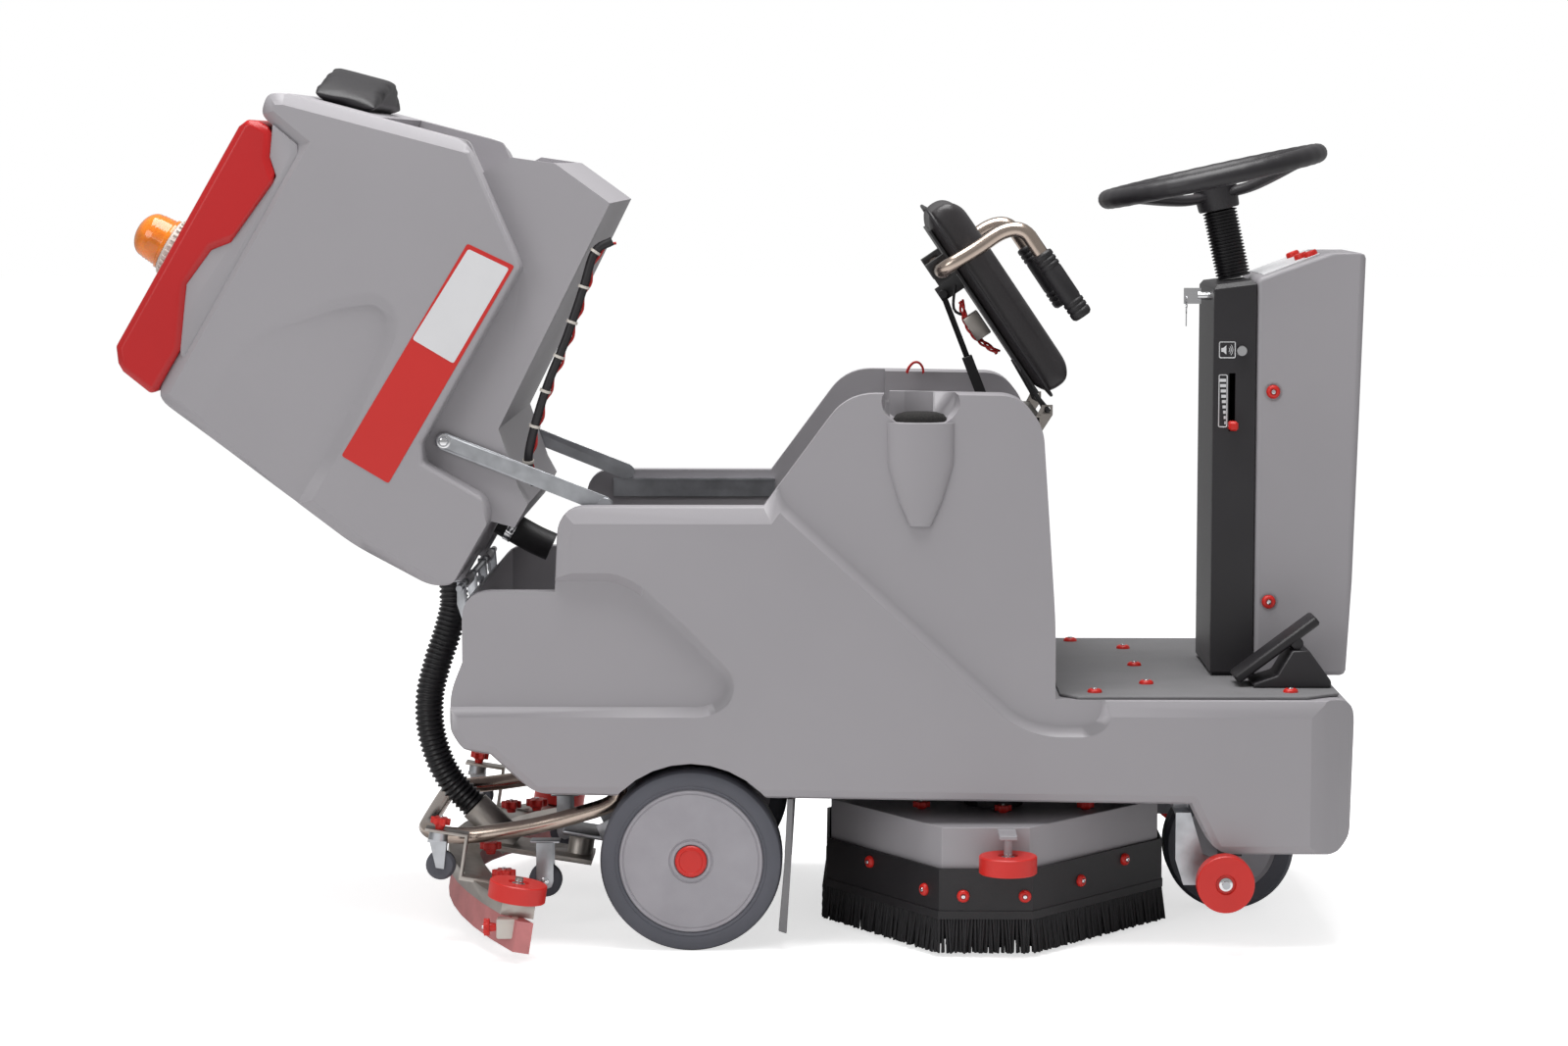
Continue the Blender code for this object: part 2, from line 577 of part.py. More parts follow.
def make_deck(machine):
    lift = frame_at("deck_lift_axis", machine, (DECK_X, 0, 0))
    shift = [(x - DECK_X, y) for x, y in deck_plan()]
    inner = [(x - DECK_X, y) for x, y in deck_plan(-0.012)]
    shroud = slab("deck_shroud", lift, GREY, shift, DECK_SKIRT_Z, DECK_TOP_Z, "XY")
    cut(shroud, slab("cut_deck", lift, None, inner, DECK_SKIRT_Z - 0.020, DECK_TOP_Z - 0.012, "XY"))
    outer = [(x - DECK_X, y) for x, y in deck_plan(0.007)]
    ring_inner = [(x - DECK_X, y) for x, y in deck_plan(GAP)]
    skirt = slab("deck_skirt", lift, RUBBER_BLACK, outer, BRISTLE_TIP_Z, DECK_SKIRT_Z + 0.022, "XY")
    cut(skirt, slab("cut_skirt", lift, None, ring_inner, BRISTLE_TIP_Z - 0.010, DECK_SKIRT_Z + 0.040, "XY"))
    for side, word in sides():
        y = side * BRUSH_Y
        motor = rod(f"brush_motor_{word}", lift, STEEL_BLACK, (0, y, DECK_TOP_Z + MOTOR_HEIGHT / 2), 0.044, MOTOR_HEIGHT - 2 * GAP, "Z", 20)
        join(motor, rod(f"add_motor_shaft_{word}", lift, None, (0, y, 0.165), 0.010, 0.070, "Z", 12))
        cut(shroud, rod(f"cut_shaft_{word}", lift, None, (0, y, DECK_TOP_Z - 0.005), 0.012, 0.040, "Z", 16))
        brush_axis = frame_at(f"brush_axis_{word}", lift, (0, y, 0))
        turned(f"brush_{word}", brush_axis, BRISTLE,
               [(0.0105, 0.160), (0.040, 0.160), (0.044, 0.124), (BRUSH_RADIUS - 0.012, 0.118), (BRUSH_RADIUS - 0.012, 0.100),
                (BRUSH_RADIUS, BRISTLE_TIP_Z + 0.001), (0.060, BRISTLE_TIP_Z + 0.001), (0.060, 0.094), (0.0105, 0.094)], sides=32)
        roller_y = side * (DECK_HALF_WIDTH + BUMPER_RADIUS + 0.002)
        roller_x = 0.4605 - DECK_X
        pin = rod(f"add_roller_pin_{word}", lift, None, (roller_x, roller_y, 0.156), 0.006, 0.060, "Z", 12)
        low, high = sorted((roller_y + side * 0.010, side * 0.362))
        arm = block(f"add_roller_arm_{word}", lift, None, (roller_x - 0.013, low, 0.1805), (roller_x + 0.013, high, 0.187))
        join(shroud, arm, pin)
        spin = frame_at(f"deck_roller_axis_{word}", lift, (roller_x, roller_y, 0.144))
        turned(f"deck_roller_{word}", spin, RED, roller_profile(0.0062), sides=28)
    for name, x, y in deck_posts():
        cut(shroud, rod(f"cut_post_{name}", lift, None, (x - DECK_X, y, DECK_TOP_Z), POST_RADIUS + 0.0006, 0.060, "Z", 14))


def roller_profile(bore):
    half = BUMPER_WIDTH / 2
    edge = BUMPER_RADIUS
    return [(bore, half), (edge - 0.003, half), (edge, half - 0.004), (edge, 0.004 - half), (edge - 0.003, -half), (bore, -half)]


def make_guard(machine):
    """Plated bracket under the apron that carries the front guard rollers."""
    y = 0.372
    z = 0.109
    bar = block("guard_bracket", machine, STEEL_PLATED, (0.712, -0.300, 0.196), (0.734, 0.300, 0.200))
    arms = []
    for side, word in sides():
        low, high = sorted((side * 0.300, side * 0.296))
        arms.append(slab(f"add_guard_arm_{word}", machine, None,
                         [(0.712, 0.200), (0.712, 0.130), (0.724, 0.092), (0.790, 0.092), (0.790, 0.124), (0.752, 0.138), (0.734, 0.200)],
                         low, high))
        arms.append(rod(f"add_guard_pin_{word}", machine, None, (0.778, side * (y + 0.300) / 2, z), 0.006,
                        y - 0.300 + 2 * (BUMPER_WIDTH / 2 + 0.006), sides=12))
        arms.append(block(f"add_guard_foot_{word}", machine, None, (0.712, side * RAIL_Y - 0.020, 0.198), (0.734, side * RAIL_Y + 0.020, RAIL_Z - GAP)))
        spin = frame_at(f"guard_roller_axis_{word}", machine, (0.778, side * y, z), (math.pi / 2, 0, 0))
        turned(f"guard_roller_{word}", spin, RED, roller_profile(0.0062), sides=28)
    return join(bar, *arms)


# ---------------------------------------------------------------- squeegee

def arc_x(y):
    """How far forward the curved squeegee lies at this distance from its middle."""
    radius = (ARC_HALF_WIDTH ** 2 + ARC_DEPTH ** 2) / (2 * ARC_DEPTH)
    return ARC_REAR_X + radius - math.sqrt(radius ** 2 - y ** 2)


def arc_plan(front, back, half):
    """Plan outline of a curved strip, front and back measured from the arc's own line."""
    steps = 14
    ys = [-half + 2 * half * i / steps for i in range(steps + 1)]
    return [(arc_x(y) + front, y) for y in ys] + [(arc_x(y) - back, y) for y in reversed(ys)]


def make_squeegee(machine):
    lift = frame_at("squeegee_lift_axis", machine, LIFT_PIVOT, (0, SQUEEGEE_PITCH, 0))
    arm = block("squeegee_lift_arm", lift, STEEL_PLATED, (SWING_X - 0.030, -0.046, -0.052), (-0.020, 0.046, -0.044), 0.002)
    for side, word in sides():
        low, high = sorted((side * 0.046, side * 0.052))
        join(arm, slab(f"add_arm_cheek_{word}", lift, None,
                       [(-0.060, -0.052), (0.016, -0.014), (0.016, 0.014), (-0.012, 0.014), (-0.075, -0.030)], low, high))
    join(arm, rod("add_arm_pin", lift, None, (0, 0, 0), 0.006, 0.136, sides=12))
    join(arm, rod("add_swing_pin", lift, None, (SWING_X, 0, -0.066), 0.009, 0.030, "Z", 14))
    swing = frame_at("squeegee_swing_axis", lift, (SWING_X, 0, 0))
    shift = -SWING_X
    beam_low = BLADE_TIP_Z + BLADE_HEIGHT + GAP
    beam_top = beam_low + 0.022
    outline = [(x + shift, y) for x, y in arc_plan(0.026, 0.022, ARC_HALF_WIDTH - 0.025)]
    beam = slab("squeegee_beam", swing, STEEL_PLATED, outline, beam_low, beam_top, "XY")
    plate_rear = ARC_REAR_X + shift
    extras = [block("add_swing_plate", swing, None, (plate_rear, -0.050, beam_top - 0.004), (0.022, 0.050, beam_top + 0.004)),
              rod("add_swing_boss", swing, None, (0, 0, (beam_top - 0.0525) / 2 - 0.0002), 0.020, abs(beam_top + 0.0525) - 0.0004, "Z", 18),
              suction_port(swing)]
    for side, word in sides():
        caster_x = -0.281 + shift - 0.012
        bracket_y = side * CASTER_Y
        beam_x = arc_x(CASTER_Y) + shift
        low, high = sorted((bracket_y - 0.014, bracket_y + 0.014))
        step_x = caster_x + 0.040
        extras.append(slab(f"add_caster_arm_{word}", swing, None,
                           [(beam_x + 0.015, beam_top - 0.003), (beam_x + 0.015, beam_top + 0.003), (step_x + 0.004, beam_top + 0.003),
                            (step_x + 0.004, -0.022), (caster_x - 0.020, -0.022), (caster_x - 0.020, -0.026), (step_x, -0.026),
                            (step_x, beam_top - 0.003)], low, high))
        post_x = arc_x(ARC_HALF_WIDTH - 0.040) + shift + 0.006
        roller_y = side * (ARC_HALF_WIDTH - 0.030)
        extras.append(rod(f"add_end_post_{word}", swing, None, (post_x, roller_y, beam_top + 0.015), 0.006, 0.040, "Z", 12))
        spin = frame_at(f"squeegee_roller_axis_{word}", swing, (post_x, roller_y, beam_top + 0.015))
        turned(f"squeegee_roller_{word}", spin, RED, roller_profile(0.0062), sides=28)
        make_caster(swing, word, caster_x, bracket_y, -0.026 - GAP)
    join(beam, *extras)
    hole = rod("cut_swing_hole", swing, None, (0, 0, beam_top - 0.010), 0.0095, 0.200, "Z", 14)
    cut(beam, hole)
    blade_plan = [(x + shift, y) for x, y in arc_plan(0.012, 0.012, ARC_HALF_WIDTH)]
    blade = slab("squeegee_blade", swing, RED_RUBBER, blade_plan, BLADE_TIP_Z, BLADE_TIP_Z + BLADE_HEIGHT, "XY")
    inner = [(x + shift, y) for x, y in arc_plan(0.012 - BLADE_THICKNESS / 2, 0.012 - BLADE_THICKNESS / 2, ARC_HALF_WIDTH - 0.012)]
    cut(blade, slab("cut_blade", swing, None, inner, BLADE_TIP_Z - 0.010, BLADE_TIP_Z + BLADE_HEIGHT - 0.010, "XY"))


def suction_port(swing):
    """Nozzle on the beam that points up and back at the hose."""
    port = rod("add_suction_port", swing, None, (0, 0, 0), 0.024, 0.084, "Z", 18)
    port.location = (PORT_X - SWING_X, 0.0, PORT_Z)
    port.rotation_euler = (0, -PORT_LEAN - SQUEEGEE_PITCH, 0)
    return port


def make_caster(swing, word, x, y, top):
    swivel = frame_at(f"caster_swivel_axis_{word}", swing, (x, y, 0))
    axle_z = top - 0.048
    trail = 0.010
    fork = rod(f"caster_fork_{word}", swivel, STEEL_PLATED, (0, 0, top - 0.006), 0.014, 0.012, "Z", 16)
    half = CASTER_WIDTH / 2 + 0.001
    pieces = [block(f"add_fork_top_{word}", swivel, None, (-0.014, -half - 0.002, top - 0.016), (0.014, half + 0.002, top - 0.011)),
              rod(f"add_fork_axle_{word}", swivel, None, (trail, 0, axle_z), 0.003, 2 * half + 0.004, sides=10)]
    for side in (-1, 1):
        low, high = sorted((side * half, side * (half + 0.002)))
        pieces.append(slab(f"add_fork_leg_{word}_{side}", swivel, None,
                           [(-0.012, top - 0.012), (0.014, top - 0.012), (trail + 0.006, axle_z - 0.004), (trail - 0.006, axle_z - 0.004)],
                           low, high))
    join(fork, *pieces)
    spin = frame_at(f"caster_wheel_axis_{word}", swivel, (trail, -CASTER_WIDTH / 2, axle_z), (-math.pi / 2, 0, 0))
    edge = CASTER_RADIUS
    turned(f"caster_wheel_{word}", spin, RUBBER_BLACK,
           [(0.0035, CASTER_WIDTH), (edge - 0.004, CASTER_WIDTH), (edge, CASTER_WIDTH - 0.004), (edge, 0.004), (edge - 0.004, 0), (0.0035, 0)],
           sides=20)


def make_rear_guard(machine):
    """Bent steel tube round the squeegee's hose."""
    z = 0.150
    y = -RAIL_Y
    half_route = [(-0.112, y, RAIL_Z - GAP), (-0.112, y, 0.214), (-0.124, y, 0.200), (-0.157, y, 0.188), (-0.230, y, 0.168),
                  (-0.300, y, 0.156), (-0.352, -0.230, z), (-0.386, -0.208, z), (-0.404, -0.172, z), (-0.408, -0.120, z)]
    route = half_route + [(x, -y, height) for x, y, height in reversed(half_route)]
    return tube("rear_guard_tube", machine, STEEL_POLISHED, route, 0.0125, 2)


def smooth_route(points, spacing):
    """Points along a Catmull-Rom curve through the route's own points."""
    places = [Vector(p) for p in points]
    places = [2 * places[0] - places[1], *places, 2 * places[-1] - places[-2]]
    fine = []
    for before, start, end, after in zip(places, places[1:], places[2:], places[3:]):
        for step in range(24):
            t = step / 24
            fine.append(0.5 * (2 * start + (end - before) * t + (2 * before - 5 * start + 4 * end - after) * t * t
                               + (3 * start - before - 3 * end + after) * t ** 3))
    fine.append(places[-2])
    kept = [fine[0]]
    travelled = 0.0
    for last, here in zip(fine, fine[1:]):
        travelled += (here - last).length
        if travelled >= spacing:
            kept.append(here)
            travelled = 0.0
    if (kept[-1] - fine[-1]).length < spacing / 2:
        kept.pop()
    kept.append(fine[-1])
    return kept


SUCTION_ROUTE = [
    (-0.3800, 0.0, 0.5070), (-0.3800, 0.0, 0.486), (-0.3804, 0.0, 0.466), (-0.3900, 0.0, 0.428), (-0.4060, 0.0, 0.380), (-0.4180, 0.0, 0.330),
    (-0.4180, 0.0, 0.280), (-0.4060, 0.0, 0.232), (-0.3880, 0.0, 0.197), (-0.3660, 0.0, 0.171), (-0.3503, 0.0, 0.1553),
]
SUCTION_RADIUS = 0.0225
DRAIN_ROUTE = [
    (0.0224, 0.100, 0.4990), (0.0040, 0.100, 0.5012), (-0.0160, 0.100, 0.4940), (-0.0240, 0.098, 0.470), (-0.0230, 0.092, 0.425),
    (-0.0200, 0.084, 0.375), (-0.0180, 0.076, 0.330), (-0.0262, 0.066, 0.250), (-0.0332, 0.060, 0.190), (-0.0362, 0.056, 0.130),
]
DRAIN_RADIUS = 0.019


# ---------------------------------------------------------------- recovery tank

def tank_side():
    """The wide part of the tank, which stands over the body's rim."""
    return [(0.118, 0.009), (0.006, 0.009), (-0.010, 0.040), (-0.014, 0.164), (0.016, 0.400), (0.030, 0.520),
            (0.450, 0.520), (0.462, 0.586), (0.494, 0.592), (0.507, 0.570), (0.578, 0.310), (0.470, 0.164), (0.458, 0.150),
            (0.166, 0.150), (0.142, 0.134), (0.142, 0.032)]


def tank_skirt():
    """The narrow part below, which drops between the body's walls."""
    return [(0.100, 0.300), (0.500, 0.300), (0.588, 0.245), (0.612, 0.185), (0.602, 0.088), (0.234, 0.066), (0.176, 0.000),
            (0.160, -0.026), (0.120, -0.026), (0.100, 0.050)]


def make_tank(machine):
    hinge = frame_at("tank_hinge_axis", machine, TANK_HINGE, (0, -TANK_TILT, 0))
    tank = slab("recovery_tank", hinge, GREY, tank_side(), -TANK_HALF_WIDTH, TANK_HALF_WIDTH)
    bevel(tank, 0.012, 2, 25)
    skirt = slab("add_tank_skirt", hinge, None, tank_skirt(), -SKIRT_HALF_WIDTH, SKIRT_HALF_WIDTH)
    join(tank, skirt)
    wall = TANK_WALL
    inner = TANK_HALF_WIDTH - wall
    hollow = slab("cut_tank_hollow", hinge, None,
                  [(0.022, 0.168), (0.048, 0.560), (0.428, 0.560), (0.428, 0.498), (0.478, 0.498),
                   (0.478, 0.204), (0.452, 0.168)], -inner, inner)
    seat_recess = block("cut_seat_recess", hinge, None, (0.496, -0.262, 0.190), (0.700, 0.262, 0.440))
    sump = block("cut_tank_sump", hinge, None, (0.250, 0.016 - SKIRT_HALF_WIDTH, 0.092), (0.468, SKIRT_HALF_WIDTH - 0.016, 0.200))
    cut(tank, hollow, sump, seat_recess)
    make_tank_hinge(machine, hinge, tank)
    make_lid(hinge)
    make_links(machine, hinge)
    make_backrest(hinge)
    pipe_x, pipe_y = 0.083, -0.110
    pipe = rod("sump_pipe", hinge, RUBBER_BLACK, (pipe_x, pipe_y, -0.038), 0.0225, 0.094 - 2 * GAP, "Z", 20)
    pipe.location = (0, 0, 0)
    cut(pipe, rod("cut_sump_pipe", hinge, None, (pipe_x, pipe_y, -0.060), 0.018, 0.090, "Z", 16))
    tube("drain_hose", hinge, RUBBER_BLACK, smooth_route(DRAIN_ROUTE, 2.2 * DRAIN_RADIUS), DRAIN_RADIUS, 2)
    return tank


def make_tank_hinge(machine, hinge, tank):
    x, _, z = TANK_HINGE
    rear_face = BODY_REAR_X + 0.018
    bracket = block("tank_hinge_bracket", machine, STEEL_PLATED, (rear_face - 0.0035, -0.250, 0.455), (rear_face - GAP, 0.250, 0.505))
    pieces = [rod("add_hinge_rod", machine, None, (x, 0, z), HINGE_ROD_RADIUS, 0.560, sides=14)]
    for number, y in enumerate((-0.240, -0.080, 0.080, 0.240)):
        pieces.append(slab(f"add_hinge_ear_{number}", machine, None,
                           [(rear_face - 0.003, 0.460), (x - 0.007, 0.500), (x - 0.007, z + 0.006), (x + 0.006, z + 0.006),
                            (rear_face - 0.001, 0.505)], y - 0.004, y + 0.004))
    # Shelf that holds the top of the squeegee's hose
    pieces.append(block("add_hose_shelf", machine, None, (-0.408, -0.030, 0.5083), (rear_face - 0.0012, 0.030, 0.5113)))
    pieces.append(block("add_shelf_web", machine, None, (rear_face - 0.0035, -0.030, 0.500), (rear_face - 0.0012, 0.030, 0.5113)))
    join(bracket, *pieces)
    knuckles = []
    bores = []
    for number, y in enumerate((-0.160, 0.160)):
        knuckles.append(rod(f"add_knuckle_{number}", hinge, None, (0, y, 0), HINGE_ROD_RADIUS + 0.0035, 0.060, sides=16))
        knuckles.append(block(f"add_knuckle_web_{number}", hinge, None, (0.0, y - 0.030, 0.004), (0.044, y + 0.030, 0.014)))
        bores.append(rod(f"cut_knuckle_{number}", hinge, None, (0, y, 0), HINGE_ROD_RADIUS + 0.0006, 0.080, sides=16))
    join(tank, *knuckles)
    cut(tank, *bores)


def make_lid(hinge):
    axis = frame_at("lid_axis", hinge, (0.458, 0, LID_TOP))
    x, _, z = axis.location
    seat = 0.520 + GAP
    outline = [(0.030, seat), (0.040, 0.585), (0.066, LID_TOP), (0.440, LID_TOP), (0.4535, 0.590), (0.4535, 0.560),
               (0.416, 0.543), (0.395, seat), (0.280, 0.532), (0.257, 0.551), (0.196, 0.558), (0.157, 0.541), (0.110, seat)]
    half = TANK_HALF_WIDTH + 0.004
    lid = slab("tank_lid", axis, RED, [(u - x, v - z) for u, v in outline], -half, half)
    bevel(lid, 0.008, 1, 40)
    under = slab("cut_lid", axis, None, [(u - x, v - z) for u, v in
                 ((0.060, 0.500), (0.060, 0.585), (0.440, 0.585), (0.440, 0.500))], -0.300, 0.300)
    cut(lid, under)
    beacon = rod("beacon", axis, AMBER, (0.196 - x, 0, 0.018 + GAP), 0.046, 0.036, "Z", 24, 0.042)
    join(beacon, rod("add_beacon_dome", axis, None, (0.196 - x, 0, 0.062), 0.036, 0.062, "Z", 24, 0.026),
         rod("add_beacon_crown", axis, None, (0.196 - x, 0, 0.100), 0.026, 0.018, "Z", 24, 0.010))


def make_links(machine, hinge):
    px, pz = LINK_PIVOT
    for side, word in sides():
        axis = frame_at(f"link_axis_{word}", hinge, (px, 0, pz), (0, TANK_TILT + LINK_ANGLE, 0))
        y0, y1 = sorted((side * (LINK_Y - LINK_THICKNESS / 2), side * (LINK_Y + LINK_THICKNESS / 2)))
        half = 0.0125
        outline = arc(5, (LINK_LENGTH, 0), half, -90, 90) + arc(5, (0, 0), half, 90, 270)
        bar = slab(f"tank_link_{word}", axis, STEEL_PLATED, outline, y0, y1)
        roller = rod(f"add_link_roller_{word}", axis, None, (LINK_LENGTH, side * (LINK_Y + 0.0065), 0), ROLLER_RADIUS, 0.011, sides=16)
        inner_y = SKIRT_HALF_WIDTH + GAP
        pin_y = side * (inner_y + LINK_Y + 0.006) / 2
        pin = rod(f"add_link_pin_{word}", axis, None, (0, pin_y, 0), 0.008, LINK_Y + 0.006 - inner_y, sides=14)
        join(bar, roller, pin)
        rail_z = 0.6525 - ROLLER_RADIUS - 0.0006
        wall_y = BAY_HALF_WIDTH - GAP
        low, high = sorted((side * (LINK_Y + 0.0025), side * wall_y))
        rail = block(f"link_rail_{word}", machine, STEEL_POLISHED, (-0.150, low, rail_z - 0.003), (0.112, high, rail_z))
        web_low, web_high = sorted((side * (wall_y - 0.0025), side * wall_y))
        join(rail, block(f"add_rail_web_{word}", machine, None, (-0.150, web_low, rail_z - 0.030), (0.112, web_high, rail_z - 0.001)))


def make_backrest(hinge):
    """Curved pad on the tank's front face, above the seat when the tank is down."""
    slope = math.atan2(0.507 - 0.578, 0.570 - 0.310)
    axis = frame_at("backrest", hinge, (0.507 - GAP, 0, 0.570), (0, slope, 0))
    outer = arc(9, (-0.330, 0), 0.400, -26, 26)
    pad = slab("backrest_pad", axis, RUBBER_BLACK, [(2 * GAP, -0.175), *[(x - 0.020, y) for x, y in outer], (2 * GAP, 0.175)],
               -0.118, -0.010, "XY")
    return bevel(pad, 0.006)


# ---------------------------------------------------------------- seat

def make_seat(machine):
    hinge = frame_at("seat_hinge_axis", machine, SEAT_HINGE, (0, SEAT_TILT, 0))
    pan = block("seat_pan", hinge, STEEL_BLACK, (-SEAT_LENGTH + 0.020, -0.180, 0.0), (-0.030, 0.180, PAN_THICKNESS))
    ears = []
    for side, word in sides():
        low, high = sorted((side * 0.150, side * 0.154))
        ears.append(slab(f"add_seat_ear_{word}", hinge, None,
                         [(-0.070, 0.0015), (-0.010, 0.0015), (0.006, 0.004), (0.008, -0.004), (0.000, -0.008), (-0.010, -0.006), (-0.070, -0.002)],
                         low, high))
    ears.append(rod("add_seat_pin", hinge, None, (0, 0, 0), 0.004, 0.340, sides=12))
    ears.append(block("add_stay_ear", hinge, None, (-0.236, 0.0105, -0.040), (-0.212, 0.0135, 0.001)))
    for side, word in sides():
        ears.append(block(f"add_arm_clamp_{word}", hinge, None, (ARM_PIVOT[0] - 0.018, side * 0.150 - 0.020, ARM_PIVOT[1] - 0.016),
                          (ARM_PIVOT[0] + 0.018, side * 0.150 + 0.020, 0.002)))
    join(pan, *ears)
    for side, word in sides():
        cut(pan, rod(f"cut_arm_clamp_{word}", hinge, None, (ARM_PIVOT[0], side * 0.150, ARM_PIVOT[1]), ARM_TUBE_RADIUS + 0.0006, 0.060))
    cushion = block("seat_cushion", hinge, LEATHER, (-SEAT_LENGTH - 0.010, -SEAT_HALF_WIDTH, PAN_THICKNESS + GAP),
                    (-0.014, SEAT_HALF_WIDTH, PAN_THICKNESS + CUSHION_HEIGHT))
    bevel(cushion, 0.016, 2, 40)
    bracket = block("seat_hinge_bracket", machine, STEEL_PLATED, (BAY_FRONT_X - 0.003, -0.166, SEAT_LEDGE_Z + GAP),
                    (0.5170, 0.166, SEAT_LEDGE_Z + 0.0033))
    make_seat_bracket(machine, bracket)
    make_arms(hinge)
    make_stay(machine, bracket)


def make_seat_bracket(machine, bracket):
    """Ears on the seat box's front edge that hold the seat's hinge pin."""
    x, _, z = SEAT_HINGE
    front = 0.5135
    join(bracket, block("add_bracket_face", machine, None, (front + 0.0010, -0.166, 0.746), (front + 0.0035, 0.166, SEAT_LEDGE_Z + 0.0033)))
    for side, word in sides():
        low, high = sorted((side * 0.157, side * 0.161))
        ear = slab(f"add_bracket_ear_{word}", machine, None,
                   [(front + 0.0015, 0.748), (front + 0.0035, 0.748), (x + 0.008, z - 0.008), (x + 0.008, z + 0.007), (x - 0.008, z + 0.007),
                    (front - 0.003, SEAT_LEDGE_Z + 0.002), (front + 0.0015, SEAT_LEDGE_Z + 0.001)], low, high)
        join(bracket, ear)
        cut(bracket, rod(f"cut_bracket_{word}", machine, None, (x, side * 0.159, z), 0.0048, 0.030, sides=14))


def make_arms(hinge):
    for side, word in sides():
        axis = frame_at(f"armrest_axis_{word}", hinge, (ARM_PIVOT[0], 0, ARM_PIVOT[1]))
        y = side * ARM_Y
        route = [(0.0, side * 0.120, 0.0), (0.0, side * 0.205, 0.0), (-0.001, side * 0.225, 0.004), (-0.001, y, 0.018),
                 (0.001, y, 0.100), (0.008, y, 0.122), (0.022, y, 0.133), (0.048, y, 0.133), (0.170, y, 0.136)]
        arm = tube(f"armrest_{word}", axis, STEEL_POLISHED, route, ARM_TUBE_RADIUS, 2)
        grip = rod(f"add_grip_{word}", axis, None, (0.115, y, 0.1346), 0.016, 0.112, "X", 16)
        join(arm, grip)


def make_stay(machine, bracket):
    foot, top = Vector(STAY_FOOT), Vector(STAY_TOP)
    lean = math.atan2(top.x - foot.x, top.z - foot.z)
    length = (top - foot).length
    axis = frame_at("stay_foot_axis", machine, STAY_FOOT, (0, lean, 0))
    sleeve = block("seat_stay_sleeve", axis, STEEL_BLACK, (-0.008, -0.008, 0.010), (0.008, 0.008, SLEEVE_LENGTH))
    cut(sleeve, block("cut_sleeve", axis, None, (-0.006, -0.006, 0.022), (0.006, 0.006, SLEEVE_LENGTH + 0.010)))
    join(sleeve, rod("add_stay_foot", axis, None, (0, 0, 0), 0.007, 0.016, sides=12),
         block("add_stay_neck", axis, None, (-0.006, -0.006, 0.0), (0.006, 0.006, 0.016)))
    slide = frame_at("stay_slide_axis", axis, (0, 0, length))
    inner = block("seat_stay_rod", slide, STEEL_BLACK, (-0.0045, -0.0045, 0.113 - length), (0.0045, 0.0045, 0.0))
    join(inner, rod("add_stay_eye", slide, None, (0, 0.001, 0), 0.007, 0.018, sides=12))
    # Foot bracket on the seat box's front wall
    x, _, z = STAY_FOOT
    join(bracket, block("add_stay_face", machine, None, (BAY_FRONT_X - 0.003, -0.020, z - 0.050), (BAY_FRONT_X - GAP, 0.020, SEAT_LEDGE_Z + 0.002)))
    for side, word in sides():
        low, high = sorted((side * 0.0095, side * 0.0125))
        join(bracket, slab(f"add_stay_cheek_{word}", machine, None,
                                [(BAY_FRONT_X - 0.001, z - 0.050), (BAY_FRONT_X - 0.001, z - 0.018), (x + 0.008, z + 0.007), (x - 0.007, z + 0.007),
                                 (x - 0.007, z - 0.008)], low, high))
        join(bracket, rod(f"add_stay_pin_{word}", machine, None, (x, side * 0.010, z), 0.003, 0.004, sides=10))


def main():
    machine = frame_at("machine", None, (REAR_AXLE_X, 0, 0))
    make_body(machine)
    make_chassis(machine)
    make_rear_wheels(machine)
    make_mudflaps(machine)
    make_batteries(machine)
    make_platform(machine)
    make_console(machine)
    make_steering(machine)
    make_front_wheel(machine)
    make_controls(machine)
    make_pedal(machine)
    make_deck(machine)
    make_guard(machine)
    make_squeegee(machine)
    make_rear_guard(machine)
    tube("suction_hose", machine, RUBBER_BLACK, smooth_route(SUCTION_ROUTE, 2.2 * SUCTION_RADIUS), SUCTION_RADIUS, 2)
    make_tank(machine)
    make_seat(machine)


clear_scene()
PARTS = collection("scrubber_dryer")
CUTTERS = collection("cutters")
GREY = finish("moulded_grey", (0.36, 0.36, 0.37), 0.55)
RED = finish("moulded_red", (0.60, 0.03, 0.02), 0.4)
RED_RUBBER = finish("red_rubber", (0.45, 0.08, 0.07), 0.6)
AMBER = finish("amber_lens", (0.9, 0.35, 0.02), 0.2)
BLACK_PLASTIC = finish("black_plastic", (0.02, 0.02, 0.02), 0.45)
RUBBER_BLACK = finish("black_rubber", (0.015, 0.015, 0.015), 0.6)
RUBBER_GREY = finish("grey_rubber", (0.16, 0.16, 0.17), 0.7)
LEATHER = finish("seat_cover", (0.02, 0.02, 0.02), 0.5)
BRISTLE = finish("bristle", (0.01, 0.01, 0.01), 0.9)
STEEL_BLACK = finish("painted_steel", (0.02, 0.02, 0.02), 0.4, 0.3)
STEEL_PLATED = finish("plated_steel", (0.62, 0.64, 0.66), 0.35, 1.0)
STEEL_POLISHED = finish("polished_steel", (0.70, 0.68, 0.65), 0.2, 1.0)
CHROME = finish("chrome", (0.8, 0.8, 0.8), 0.12, 1.0)
main()
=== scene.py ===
"""Ride-on floor scrubber-dryer, open for service: finishes, mouldings and fittings around the frame.

Metres, +Z up, +X forward, -Y the right side. Places are measured from the rear axle, on the floor, and
TANK, SEAT, STEERING and SQUEEGEE are leaning frames for the pieces of those groups.
"""
import math

import bpy
from bpy.props import FloatProperty, FloatVectorProperty, PointerProperty
from bpy.types import Operator, Panel, PropertyGroup
from mathutils import Matrix, Vector


